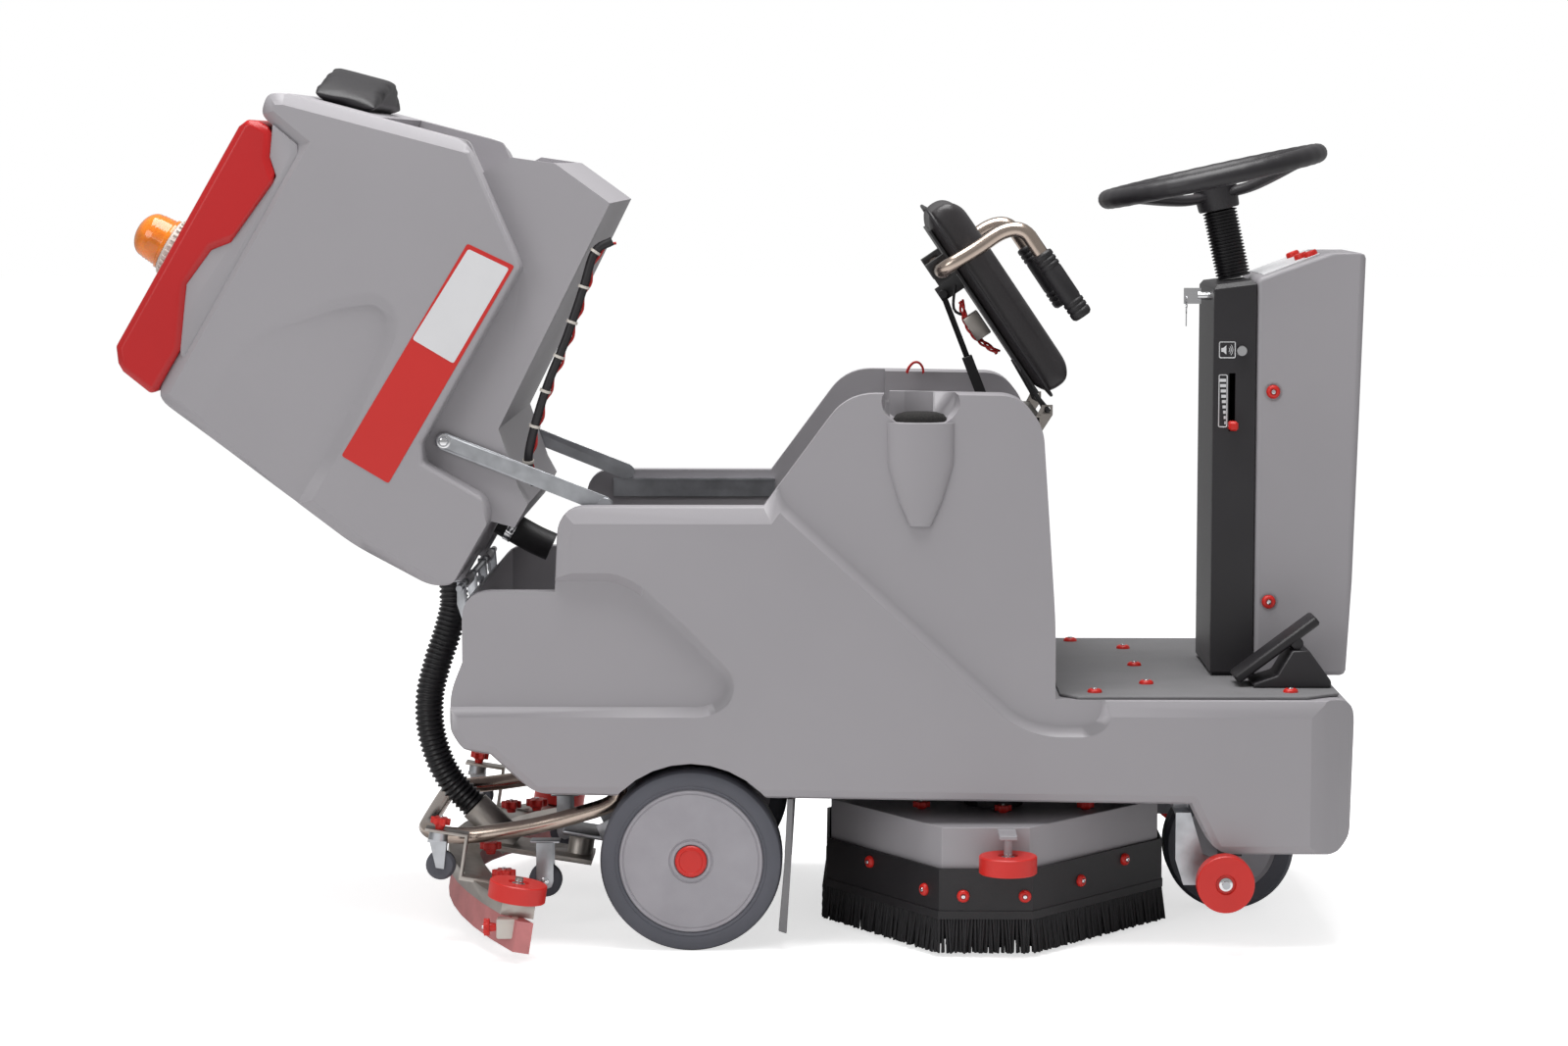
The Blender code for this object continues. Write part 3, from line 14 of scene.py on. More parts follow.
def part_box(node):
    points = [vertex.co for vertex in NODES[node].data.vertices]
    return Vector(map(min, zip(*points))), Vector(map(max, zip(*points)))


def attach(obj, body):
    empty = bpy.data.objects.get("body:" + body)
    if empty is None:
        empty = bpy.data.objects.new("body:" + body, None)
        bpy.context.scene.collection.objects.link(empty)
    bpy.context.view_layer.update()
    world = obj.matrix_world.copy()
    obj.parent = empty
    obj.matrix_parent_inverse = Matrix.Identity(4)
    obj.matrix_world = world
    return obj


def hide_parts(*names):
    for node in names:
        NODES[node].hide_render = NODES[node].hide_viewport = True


bl_info = {
    "name": "Ride-on scrubber-dryer",
    "version": (1, 0, 0),
    "blender": (4, 5, 0),
    "location": "3D View > Sidebar > Scrubber",
    "description": "Builds the visible pieces and finishes of a ride-on floor scrubber-dryer",
    "category": "Object",
}

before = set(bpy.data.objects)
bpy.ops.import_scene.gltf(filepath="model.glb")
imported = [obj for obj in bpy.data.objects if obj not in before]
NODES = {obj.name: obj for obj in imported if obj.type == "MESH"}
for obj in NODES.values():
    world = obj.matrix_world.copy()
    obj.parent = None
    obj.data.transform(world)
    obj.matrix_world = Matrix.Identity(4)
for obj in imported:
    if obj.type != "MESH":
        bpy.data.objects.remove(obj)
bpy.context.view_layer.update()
RIGHT, LEFT = -1, 1
SIDES = ((RIGHT, "right"), (LEFT, "left"))

WHEEL_LOW, WHEEL_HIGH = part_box("rear_wheel_right")
WHEEL_RADIUS = (WHEEL_HIGH.z - WHEEL_LOW.z) / 2
WHEEL_INNER_Y = 0.275
AXLE_X = (WHEEL_LOW.x + WHEEL_HIGH.x) / 2


def shift(x, y, z):
    """A move in metres."""
    return Matrix.Translation((x, y, z))


def frame_at(x, y, z, tilt=0.0):
    """A local frame in metres from the rear axle, leaning forwards by a number of degrees."""
    return shift(AXLE_X + x, y, z) @ Matrix.Rotation(math.radians(tilt), 4, "Y")


MACHINE = frame_at(0, 0, 0)
TANK = frame_at(-0.343, 0, 0.527, -60)
SEAT = frame_at(0.527, 0, 0.784, 56)
SQUEEGEE_LEAN = 8.8
SQUEEGEE = frame_at(-0.080, 0, 0.150, SQUEEGEE_LEAN)
STEERING = frame_at(0.785, 0, 1.130, -12.6)
QUARTER = math.pi / 2
FACE_RIGHT = Matrix.Rotation(QUARTER, 4, "X")
FACE_LEFT = Matrix.Rotation(-QUARTER, 4, "X")
FACE_FRONT = Matrix.Rotation(QUARTER, 4, "Y")
FACE_BACK = Matrix.Rotation(-QUARTER, 4, "Y")

BODY_FACE = 0.350
TANK_FACE = 0.335
CONSOLE_FACE = 0.115


# ---------------------------------------------------------------- sizes and colours a user may change

def tone(red, green, blue):
    """A display colour, 0 to 255, as the linear colour that shaders take."""
    return tuple(((value / 255 + 0.055) / 1.055) ** 2.4 if value > 10 else value / 255 / 12.92
                 for value in (red, green, blue))


def colour_choice(name, description, default):
    return FloatVectorProperty(name=name, description=description, default=tone(*default), size=3,
                               min=0.0, max=1.0, subtype="COLOR")


def length_choice(name, description, default):
    return FloatProperty(name=name, description=description, default=default, min=0.0, unit="LENGTH",
                         subtype="DISTANCE")


class ScrubberColours(PropertyGroup):
    """Colours of the mouldings and rubbers."""
    body: colour_choice("Body", "Grey of the rotomoulded body, tank and console", (156, 153, 157))
    accent: colour_choice("Accent", "Red of the lid, rollers, knobs and caps", (206, 36, 28))
    lid: colour_choice("Lid", "Deeper red of the tank lid", (184, 22, 24))
    tyre: colour_choice("Tyre", "Non-marking grey rubber", (84, 85, 93))
    disc: colour_choice("Wheel disc", "Cast disc of the rear wheels", (158, 155, 161))
    black: colour_choice("Black trim", "Black plastic and rubber", (38, 36, 39))
    mat: colour_choice("Mat", "Grey footplate mat", (120, 119, 121))
    blade: colour_choice("Blade", "Pinkish red squeegee rubber", (192, 120, 120))
    amber: colour_choice("Beacon", "Amber lens of the beacon", (232, 128, 20))


class ScrubberSizes(PropertyGroup):
    """Sizes of the fittings."""
    mat_cap: length_choice("Mat cap", "Radius of the red caps that hold the footplate mat", 0.0110)
    console_cap: length_choice("Console cap", "Radius of the red caps on the console", 0.0105)
    apron_cap: length_choice("Apron cap", "Radius of the red caps on the deck's apron", 0.0092)
    deck_knob: length_choice("Deck knob", "Radius of the star knobs on the deck and the blade's ends",
                             0.0130)
    caster_knob: length_choice("Caster knob", "Radius of the star knobs over the squeegee's casters",
                               0.0150)
    hose_pitch: length_choice("Hose pitch", "Distance from rib to rib on the hoses", 0.0078)
    bristle: length_choice("Bristle bundle", "Width of one bundle of bristles in the skirt", 0.0042)
    lid_edge: length_choice("Lid edge", "Rounding of the tank lid's edges", 0.0060)
    deck_edge: length_choice("Deck edge", "Rounding of the brush deck's edges", 0.0050)


# ---------------------------------------------------------------- modelling helpers

def rest():
    """Back to object mode, with nothing selected."""
    if bpy.context.object and bpy.context.object.mode != "OBJECT":
        bpy.ops.object.mode_set(mode="OBJECT")
    bpy.ops.object.select_all(action="DESELECT")


def pick(obj):
    """Only this object selected and active."""
    rest()
    obj.select_set(True)
    bpy.context.view_layer.objects.active = obj
    return obj


def edit(obj):
    """Into edit mode with the whole mesh selected."""
    pick(obj)
    bpy.ops.object.mode_set(mode="EDIT")
    bpy.ops.mesh.select_all(action="SELECT")


def close(obj):
    """Leave edit mode with doubles merged, stray points gone and faces outwards."""
    bpy.ops.mesh.select_all(action="SELECT")
    bpy.ops.mesh.remove_doubles(threshold=0.00001)
    bpy.ops.mesh.delete_loose()
    bpy.ops.mesh.select_all(action="SELECT")
    bpy.ops.mesh.normals_make_consistent(inside=False)
    bpy.ops.object.mode_set(mode="OBJECT")
    return obj


def smooth(obj, angle=34):
    pick(obj)
    bpy.ops.object.shade_smooth_by_angle(angle=math.radians(angle))
    return obj


def even(obj, angle=34):
    """Smooth, with each large flat face kept flat."""
    weighted = smooth(obj, angle).modifiers.new("weighted", "WEIGHTED_NORMAL")
    weighted.keep_sharp = True
    return apply_modifiers(obj)


def place(obj, *matrices):
    """Put the mesh where the frames say, with the object left at the origin."""
    for matrix in reversed(matrices):
        obj.matrix_world = matrix @ obj.matrix_world
    pick(obj)
    bpy.ops.object.transform_apply(location=True, rotation=True, scale=True)
    return obj


def apply_modifiers(obj):
    """Apply every modifier, first to last."""
    pick(obj)
    for modifier in list(obj.modifiers):
        bpy.ops.object.modifier_apply(modifier=modifier.name)
    return obj


def modelled_once(make):
    """The same shape asked for again is a copy of the first, with a mesh of its own."""
    meshes = {}

    def made(name, *shape, **options):
        key = repr((shape, options))
        if key not in meshes:
            first = make(name, *shape, **options)
            meshes[key] = first.data.copy()
            return first
        again = bpy.data.objects.new(name, meshes[key].copy())
        bpy.context.scene.collection.objects.link(again)
        return again
    return made


def ring_of(name, points):
    """A filled circle with its corners moved to the points."""
    rest()
    bpy.ops.mesh.primitive_circle_add(vertices=len(points), radius=1.0, fill_type="NGON")
    obj = bpy.context.object
    obj.name = name
    for vertex, point in zip(obj.data.vertices, points):
        vertex.co = point
    return obj


def bevel_edges(width, segments=2, sharpness=30):
    """Round the sharp edges of the mesh in edit mode."""
    bpy.ops.mesh.select_all(action="DESELECT")
    bpy.ops.mesh.select_mode(type="EDGE")
    bpy.ops.mesh.edges_select_sharp(sharpness=math.radians(sharpness))
    bpy.ops.mesh.bevel(offset=width, segments=segments, affect="EDGES", clamp_overlap=True)
    bpy.ops.mesh.select_mode(type="VERT")


@modelled_once
def plate(name, outline, low, high, plane="XZ", edge=0.0, segments=2):
    """A flat outline with thickness, in X and Z between two Y values, or X and Y between two Z values."""
    points = [(u, low, v) if plane == "XZ" else (u, v, low) for u, v in outline]
    obj = ring_of(name, points)
    edit(obj)
    way = (0, high - low, 0) if plane == "XZ" else (0, 0, high - low)
    bpy.ops.mesh.extrude_region_move(TRANSFORM_OT_translate={"value": way})
    bpy.ops.mesh.select_all(action="SELECT")
    bpy.ops.mesh.normals_make_consistent(inside=False)
    if edge:
        bevel_edges(edge, segments)
    return smooth(close(obj))


def box(name, low, high, edge=0.0, segments=2):
    """A rounded box between two corners."""
    outline = [(low[0], low[2]), (high[0], low[2]), (high[0], high[2]), (low[0], high[2])]
    return plate(name, outline, low[1], high[1], edge=edge, segments=segments)


@modelled_once
def turned(name, profile, sides=64, angle=40):
    """A closed profile of (radius, height) points spun about the local Z axis."""
    obj = ring_of(name, [(radius, 0, height) for radius, height in profile])
    edit(obj)
    bpy.ops.mesh.delete(type="ONLY_FACE")
    bpy.ops.mesh.select_all(action="SELECT")
    bpy.ops.mesh.spin(steps=sides, angle=2 * math.pi, center=(0, 0, 0), axis=(0, 0, 1))
    return smooth(close(obj), angle)


def tube(name, points, radius, detail=6, radii=None, cyclic=False, as_mesh=True):
    """A round bar through the points, from a curve."""
    rest()
    bpy.ops.curve.primitive_nurbs_path_add()
    obj = bpy.context.object
    obj.name = name
    curve = obj.data
    curve.splines.clear()
    spline = curve.splines.new("POLY")
    spline.points.add(len(points) - 1)
    for index, (point, spot) in enumerate(zip(spline.points, points)):
        point.co = (*spot, 1)
        point.radius = radii[index] if radii else 1.0
    spline.use_cyclic_u = cyclic
    spline.use_smooth = True
    curve.bevel_depth = radius
    curve.bevel_resolution = detail
    curve.use_fill_caps = not cyclic
    if not as_mesh:
        return obj
    pick(obj)
    bpy.ops.object.convert(target="MESH")
    return smooth(obj, 50)


SPLINE_STEPS = 24


def route_through(points, spacing):
    """Even points along a smooth line through the given ones, and the line's length."""
    knots = [Vector(p) for p in points]
    ends = [knots[0] * 2 - knots[1], *knots, knots[-1] * 2 - knots[-2]]
    fine = []
    for a, b, c, d in zip(ends, ends[1:], ends[2:], ends[3:]):
        for step in range(SPLINE_STEPS):
            t = step / SPLINE_STEPS
            fine.append(0.5 * (2 * b + (c - a) * t + (2 * a - 5 * b + 4 * c - d) * t * t
                               + (3 * b - a - 3 * c + d) * t ** 3))
    fine.append(knots[-1])
    lengths = [0.0]
    for p, q in zip(fine, fine[1:]):
        lengths.append(lengths[-1] + (q - p).length)
    count = max(2, round(lengths[-1] / spacing))
    spots, index = [], 0
    for step in range(count + 1):
        want = lengths[-1] * step / count
        while index < len(fine) - 2 and lengths[index + 1] < want:
            index += 1
        share = (want - lengths[index]) / max(lengths[index + 1] - lengths[index], 1e-9)
        spots.append(fine[index].lerp(fine[index + 1], min(1.0, share)))
    return spots, lengths[-1]


def ribbed(name, route, radius, pitch, depth=0.86, as_mesh=True, detail=5):
    """A corrugated hose: four points to a rib, two of them drawn in."""
    points, _ = route_through(route, pitch / 4)
    beat = (1.0, 1.0, depth, depth)
    return tube(name, points, radius, detail, [beat[i % 4] for i in range(len(points))], as_mesh=as_mesh)


def copy_of(node, name, edge=0.0, angle=34, segments=2):
    """A merged copy of a CAD node, its flat faces made whole and its sharp edges rounded."""
    obj = bpy.data.objects.new(name, NODES[node].data.copy())
    bpy.context.scene.collection.objects.link(obj)
    obj.data.materials.clear()
    edit(obj)
    bpy.ops.mesh.remove_doubles(threshold=0.00002)
    bpy.ops.mesh.dissolve_limited(angle_limit=math.radians(1.0))
    close(obj)
    if edge:
        soften(obj, edge, segments)
    return smooth(obj, angle)


def recast(node, name, body, slot, edge=0.0, segments=2, look=None):
    """A CAD node's copy with its edges rounded, in the node's place."""
    return settle(copy_of(node, name, edge, 34, segments), body, slot, node, look=look)


def soften(obj, edge, segments=2):
    """Round every sharp edge with a bevel modifier."""
    rounding = obj.modifiers.new("rounded_edges", "BEVEL")
    rounding.width = edge
    rounding.segments = segments
    rounding.limit_method = "ANGLE"
    rounding.angle_limit = math.radians(30)
    return apply_modifiers(obj)


def combine(obj, operation, *tools):
    """Cut or join with other meshes, which are used up."""
    for tool in tools:
        modifier = obj.modifiers.new(tool.name, "BOOLEAN")
        modifier.operation = operation
        modifier.object = tool
        apply_modifiers(obj)
        bpy.data.objects.remove(tool, do_unlink=True)
    return obj


def merge(name, *pieces):
    """Several meshes as one object."""
    rest()
    for piece in pieces:
        piece.select_set(True)
    bpy.context.view_layer.objects.active = pieces[0]
    bpy.ops.object.join()
    pieces[0].name = name
    return pieces[0]


def scattered(name, piece, matrices):
    """One piece copied to each frame, as one object. The first is used up."""
    copies = []
    for number, matrix in enumerate(matrices):
        copy = bpy.data.objects.new(f"{name}_{number}", piece.data.copy())
        copy.data.transform(matrix)
        bpy.context.scene.collection.objects.link(copy)
        copies.append(copy)
    bpy.data.objects.remove(piece, do_unlink=True)
    return merge(name, *copies)


def spread(outline, by):
    """The outline with each corner moved outwards by a distance."""
    points = [Vector(p) for p in outline]
    area = sum(a.x * b.y - b.x * a.y for a, b in zip(points, points[1:] + points[:1]))
    turn = 1 if area > 0 else -1
    moved = []
    for before, here, after in zip(points[-1:] + points[:-1], points, points[1:] + points[:1]):
        first = (here - before).normalized()
        second = (after - here).normalized()
        normal_a = Vector((first.y, -first.x)) * turn
        normal_b = Vector((second.y, -second.x)) * turn
        middle = (normal_a + normal_b).normalized()
        moved.append(here + middle * (by / max(0.5, middle.dot(normal_a))))
    return [tuple(p) for p in moved]


def rounded(outline, radius, steps=5):
    """The outline with its corners rounded to a radius."""
    points = [Vector(p) for p in outline]
    result = []
    for before, here, after in zip(points[-1:] + points[:-1], points, points[1:] + points[:1]):
        reach = min(radius, (before - here).length * 0.45, (after - here).length * 0.45)
        start = here + (before - here).normalized() * reach
        end = here + (after - here).normalized() * reach
        for step in range(steps + 1):
            t = step / steps
            result.append(tuple(start * (1 - t) ** 2 + here * 2 * t * (1 - t) + end * t * t))
    return result


def oval_outline(u, v, half_u, half_v):
    """Thirty points round an oval."""
    turns = [math.radians(angle) for angle in range(0, 360, 12)]
    return [(u + half_u * math.cos(turn), v + half_v * math.sin(turn)) for turn in turns]


def nearest(outline, point):
    """Which of the outline's corners a point is closest to."""
    return min(range(len(outline)), key=lambda i: math.hypot(point.x - outline[i][0],
                                                             point.z - outline[i][1]))


def dish(name, outline, floor_y, mouth_y, flare, shallower=None):
    """A cutter for a recess with sloping walls: the outline at its floor, and wider at its mouth."""
    lift = shallower or (lambda u, v: 0.0)
    way = 1 if mouth_y > floor_y else -1
    obj = ring_of(name, [(u, floor_y + way * lift(u, v), v) for u, v in outline])
    wide = spread(outline, flare)
    edit(obj)
    bpy.ops.mesh.extrude_region_move(TRANSFORM_OT_translate={"value": (0, mouth_y - floor_y, 0)})
    bpy.ops.object.mode_set(mode="OBJECT")
    for vertex in obj.data.vertices:
        if (vertex.co.y - mouth_y) * way > -1e-6:
            spot = wide[nearest(outline, vertex.co)]
            vertex.co = (spot[0], mouth_y, spot[1])
    edit(obj)
    return close(obj)


def facing(side):
    """Turns a piece that points up its own Z so that it points out of the right or the left side."""
    return FACE_RIGHT if side < 0 else FACE_LEFT


def bolt_head(name, radius):
    """Hexagon head on a washer, pointing up Z."""
    washer = turned(f"{name}_washer", [(0, 0), (radius, 0), (radius, 0.0012), (radius * 0.9, 0.0016),
                                       (0, 0.0016)], 32)
    corners = [(radius * 0.66 * math.cos(math.radians(60 * i)),
                radius * 0.66 * math.sin(math.radians(60 * i))) for i in range(6)]
    head = plate(f"{name}_hex", corners, 0.0012, 0.0012 + radius * 0.5, "XY", radius * 0.08)
    return merge(name, washer, head)


def cap(name, matrix, body, radius):
    """Red bolt cap with its steel screw, pointing up the frame's Z."""
    dome = turned(name, [(0, 0), (radius, 0), (radius, 0.0018), (radius * 0.88, 0.0046),
                         (radius * 0.62, 0.0062), (radius * 0.46, 0.0060), (radius * 0.42, 0.0044),
                         (0, 0.0044)], 32, 50)
    settle(place(dome, matrix), body, "moulded_red")
    screw = turned(f"{name}_screw", [(0, 0.0042), (radius * 0.37, 0.0042), (radius * 0.37, 0.0062),
                                     (radius * 0.30, 0.0072), (radius * 0.16, 0.0074),
                                     (radius * 0.14, 0.0058), (0, 0.0058)], 24, 40)
    settle(place(screw, matrix), body, "plated_steel", look="chrome")


def star_knob(name, matrix, body, radius, stem):
    """Six-lobed red knob on a short stem, pointing up the frame's Z."""
    outline = []
    for angle in range(0, 360, 6):
        reach = radius * (0.83 + 0.17 * math.cos(math.radians(6 * angle)))
        outline.append((reach * math.cos(math.radians(angle)), reach * math.sin(math.radians(angle))))
    head = plate(f"{name}_head", outline, stem, stem + radius * 0.66, "XY", radius * 0.10, 2)
    neck = turned(f"{name}_neck", [(0, 0), (radius * 0.42, 0), (radius * 0.52, stem),
                                   (radius * 0.5, stem + 0.002), (0, stem + 0.002)], 24)
    settle(place(merge(name, head, neck), matrix), body, "moulded_red")
    top = stem + radius * 0.66
    stud = turned(f"{name}_stud", [(0, top - 0.002), (radius * 0.20, top - 0.002),
                                   (radius * 0.20, top + 0.0022), (radius * 0.14, top + 0.003),
                                   (0, top + 0.003)], 20)
    settle(place(stud, matrix), body, "plated_steel", look="chrome")


def settle(obj, body, slot, *replaced, look=None):
    """Give a piece the finish of its slot, or the look that it asks for, attach it to its body and hide the
    CAD nodes that it stands for.
    """
    obj.data.materials.clear()
    obj.data.materials.append(finish(look or SLOT_LOOKS[slot]))
    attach(obj, body)
    if replaced:
        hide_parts(*replaced)
    return obj


# ---------------------------------------------------------------- finishes

# Name: colour, roughness, grain's size and depth, patches' size and contrast, and what else is its own
RECIPES = {
    "moulded_grey": ("body", 0.46, (900.0, 0.10), (3.0, 0.025), {}),
    "moulded_red": ("accent", 0.36, (700.0, 0.06), (9.0, 0.05), {}),
    "lid_red": ("lid", 0.34, (700.0, 0.08), (4.0, 0.04), {}),
    "black_plastic": ("black", 0.42, (800.0, 0.12), (8.0, 0.10), {}),
    "black_rubber": ((30, 28, 31), 0.48, (500.0, 0.16), (10.0, 0.14), {}),
    "hose_black": ((22, 21, 24), 0.30, (400.0, 0.08), (12.0, 0.15), {}),
    "grey_rubber": ("tyre", 0.62, (450.0, 0.20), (8.0, 0.07), {}),
    "mat_rubber": ("mat", 0.66, (420.0, 0.25), (9.0, 0.06), {}),
    "disc_grey": ("disc", 0.42, (350.0, 0.14), (22.0, 0.05), {}),
    "seat_vinyl": ((44, 41, 43), 0.40, (260.0, 0.30), (14.0, 0.10), {}),
    "polished_steel": ((190, 174, 162), 0.22, (60.0, 0.03), (5.0, 0.10),
                       {"metallic": 1.0, "gloss_change": 0.06}),
    "plated_steel": ((186, 188, 192), 0.34, (90.0, 0.05), (34.0, 0.14),
                     {"metallic": 1.0, "gloss_change": 0.12}),
    "dull_steel": ((178, 172, 166), 0.38, (70.0, 0.06), (18.0, 0.12),
                   {"metallic": 1.0, "gloss_change": 0.10}),
    "chrome": ((226, 226, 228), 0.12, (200.0, 0.02), (20.0, 0.04),
               {"metallic": 1.0, "gloss_change": 0.04}),
    "painted_steel": ((30, 29, 31), 0.40, (300.0, 0.10), (12.0, 0.12), {}),
    "blade_rubber": ("blade", 0.55, (300.0, 0.20), (26.0, 0.12), {}),
    "bristle_black": ((24, 23, 26), 0.62, (120.0, 0.80), (60.0, 0.45), {"stretch": (9, 9, 0.7)}),
    "foam_black": ((26, 24, 23), 0.92, (330.0, 1.0), (330.0, 0.75), {}),
    "amber_lens": ("amber", 0.16, (90.0, 0.06), (40.0, 0.18),
                   {"Coat_Weight": 0.6, "Subsurface_Weight": 0.15, "Subsurface_Scale": 0.02}),
    "pale_plastic": ((206, 200, 192), 0.45, (500.0, 0.08), (14.0, 0.05), {}),
    "label_pale": ((214, 214, 216), 0.40, (500.0, 0.04), (10.0, 0.03), {}),
    "label_red": ((200, 44, 40), 0.32, (500.0, 0.04), (6.0, 0.03), {}),
    "wire_red": ((186, 30, 28), 0.42, (600.0, 0.10), (60.0, 0.15), {}),
}
# The record's material slots, each with the finish that it gets unless a piece asks for another
SLOT_LOOKS = {
    "moulded_grey": "moulded_grey", "moulded_red": "moulded_red", "red_rubber": "blade_rubber",
    "amber_lens": "amber_lens", "black_plastic": "black_plastic", "black_rubber": "black_rubber",
    "grey_rubber": "grey_rubber", "seat_cover": "seat_vinyl", "bristle": "bristle_black",
    "painted_steel": "painted_steel", "plated_steel": "plated_steel", "polished_steel": "polished_steel",
    "chrome": "chrome",
}
FINISHES = {}


def colours():
    """The colours that a user may change."""
    return bpy.context.scene.scrubber_colours


def sizes():
    """The sizes that a user may change."""
    return bpy.context.scene.scrubber_sizes


def finish(name):
    """The named finish, made the first time that a piece asks for it."""
    if name not in FINISHES:
        colour, roughness, grain, patch, more = RECIPES[name]
        shade = getattr(colours(), colour) if isinstance(colour, str) else tone(*colour)
        FINISHES[name] = procedural(name, shade, roughness, grain, patch, **more)
    return FINISHES[name]


def procedural(name, colour, roughness, grain, patch, metallic=0.0, stretch=(1, 1, 1), gloss_change=0.08,
               **sockets):
    """Slow patches of colour, a fine grain in the surface and a gloss that varies."""
    material = bpy.data.materials.new(name)
    material.use_nodes = True
    tree = material.node_tree
    shader = tree.nodes["Principled BSDF"]
    shader.inputs["Metallic"].default_value = metallic
    for socket, value in sockets.items():
        shader.inputs[socket.replace("_", " ")].default_value = value
    where = tree.nodes.new("ShaderNodeTexCoord")
    mapping = tree.nodes.new("ShaderNodeMapping")
    mapping.inputs["Scale"].default_value = stretch
    tree.links.new(where.outputs["Object"], mapping.inputs["Vector"])
    slow = noise(tree, mapping, patch[0], 4.0)
    blend = tree.nodes.new("ShaderNodeValToRGB")
    blend.color_ramp.elements[0].position = 0.32
    blend.color_ramp.elements[1].position = 0.68
    blend.color_ramp.elements[0].color = (*[c * (1 - patch[1]) for c in colour], 1)
    blend.color_ramp.elements[1].color = (*[min(1, c * (1 + patch[1])) for c in colour], 1)
    tree.links.new(slow.outputs["Fac"], blend.inputs["Fac"])
    tree.links.new(blend.outputs["Color"], shader.inputs["Base Color"])
    fine = noise(tree, mapping, grain[0], 3.0)
    sheen = tree.nodes.new("ShaderNodeMapRange")
    sheen.inputs["To Min"].default_value = max(0.02, roughness - gloss_change)
    sheen.inputs["To Max"].default_value = min(1.0, roughness + gloss_change)
    tree.links.new(fine.outputs["Fac"], sheen.inputs["Value"])
    tree.links.new(sheen.outputs["Result"], shader.inputs["Roughness"])
    bump = tree.nodes.new("ShaderNodeBump")
    bump.inputs["Strength"].default_value = grain[1]
    bump.inputs["Distance"].default_value = 0.001
    tree.links.new(fine.outputs["Fac"], bump.inputs["Height"])
    tree.links.new(bump.outputs["Normal"], shader.inputs["Normal"])
    return material


def noise(tree, mapping, scale, detail):
    """A noise texture on the piece's own coordinates."""
    node = tree.nodes.new("ShaderNodeTexNoise")
    node.inputs["Scale"].default_value = scale
    node.inputs["Detail"].default_value = detail
    tree.links.new(mapping.outputs["Vector"], node.inputs["Vector"])
    return node


# ---------------------------------------------------------------- the stage

WORLD_LIGHT = 0.40
FLOOR_LIFT = 0.66


class SCRUBBER_OT_stage(Operator):
    """Camera, soft studio lamps and a plain pale floor"""
    bl_idname = "scrubber.stage"
    bl_label = "Stage"

    def execute(self, context):
        rest()
        bpy.ops.object.camera_add(location=(0.1436, -5.685, 1.1595),
                                  rotation=(math.radians(90 - 5.646), 0, math.radians(0.830)))
        camera = context.object
        camera.data.lens = 85
        camera.data.sensor_width = 36
        camera.data.clip_end = 200
        context.scene.camera = camera
        rest()
        bpy.ops.mesh.primitive_grid_add(x_subdivisions=4, y_subdivisions=4, size=60, location=(0, 0, 0))
        floor = context.object
        floor.name = "floor"
        floor.data.materials.append(studio_floor())
        world = bpy.data.worlds.new("studio")
        context.scene.world = world
        world.use_nodes = True
        tree = world.node_tree
        background = tree.nodes["Background"]
        tree.links.new(lifted(tree, WORLD_LIGHT, 1.0), background.inputs["Strength"])
        background.inputs["Color"].default_value = (1, 1, 1, 1)
        lamp("overhead", (0.0, -0.4, 3.4), (0, 0, 0), 2.4, 118)
        lamp("front_left", (-2.6, -3.6, 2.4), (math.radians(62), 0, math.radians(-36)), 2.0, 36)
        context.scene.view_settings.view_transform = "Standard"
        return {"FINISHED"}


def lifted(tree, low, high):
    """A strength that is higher where the camera sees the surface straight on or through a lens."""
    path = tree.nodes.new("ShaderNodeLightPath")
    either = tree.nodes.new("ShaderNodeMath")
    either.operation = "MAXIMUM"
    tree.links.new(path.outputs["Is Camera Ray"], either.inputs[0])
    tree.links.new(path.outputs["Is Transmission Ray"], either.inputs[1])
    strength = tree.nodes.new("ShaderNodeMapRange")
    strength.inputs["To Min"].default_value = low
    strength.inputs["To Max"].default_value = high
    tree.links.new(either.outputs["Value"], strength.inputs["Value"])
    return strength.outputs["Result"]


def studio_floor():
    """Pale paper that reads as white and keeps the machine's shadow."""
    material = procedural("studio_floor", (0.90, 0.90, 0.90), 0.85, (40.0, 0.0), (1.0, 0.0))
    tree = material.node_tree
    shader = tree.nodes["Principled BSDF"]
    shader.inputs["Emission Color"].default_value = (1, 1, 1, 1)
    tree.links.new(lifted(tree, 0.0, FLOOR_LIFT), shader.inputs["Emission Strength"])
    return material


def lamp(name, location, rotation, size, power):
    """A soft square lamp."""
    rest()
    bpy.ops.object.light_add(type="AREA", location=location, rotation=rotation)
    light = bpy.context.object
    light.name = name
    light.data.size = size
    light.data.energy = power
    return light


# ---------------------------------------------------------------- hoses

SUCTION_ROUTE = [(-0.3800, 0, 0.5070), (-0.3800, 0, 0.4860), (-0.3804, 0, 0.4660), (-0.3900, 0, 0.4280),
                 (-0.4060, 0, 0.3800), (-0.4180, 0, 0.3300), (-0.4180, 0, 0.2800), (-0.4060, 0, 0.2320),
                 (-0.3880, 0, 0.1970), (-0.3660, 0, 0.1710), (-0.3503, 0, 0.1553)]
SUCTION_RADIUS = 0.0225
DRAIN_ROUTE = [(0.0224, 0.100, 0.4990), (0.0040, 0.100, 0.5012), (-0.0160, 0.100, 0.4940),
               (-0.0240, 0.098, 0.4700), (-0.0230, 0.092, 0.4250), (-0.0200, 0.084, 0.3750),
               (-0.0180, 0.076, 0.3300), (-0.0262, 0.066, 0.2500), (-0.0332, 0.060, 0.1900),
               (-0.0362, 0.056, 0.1300)]
DRAIN_RADIUS = 0.019


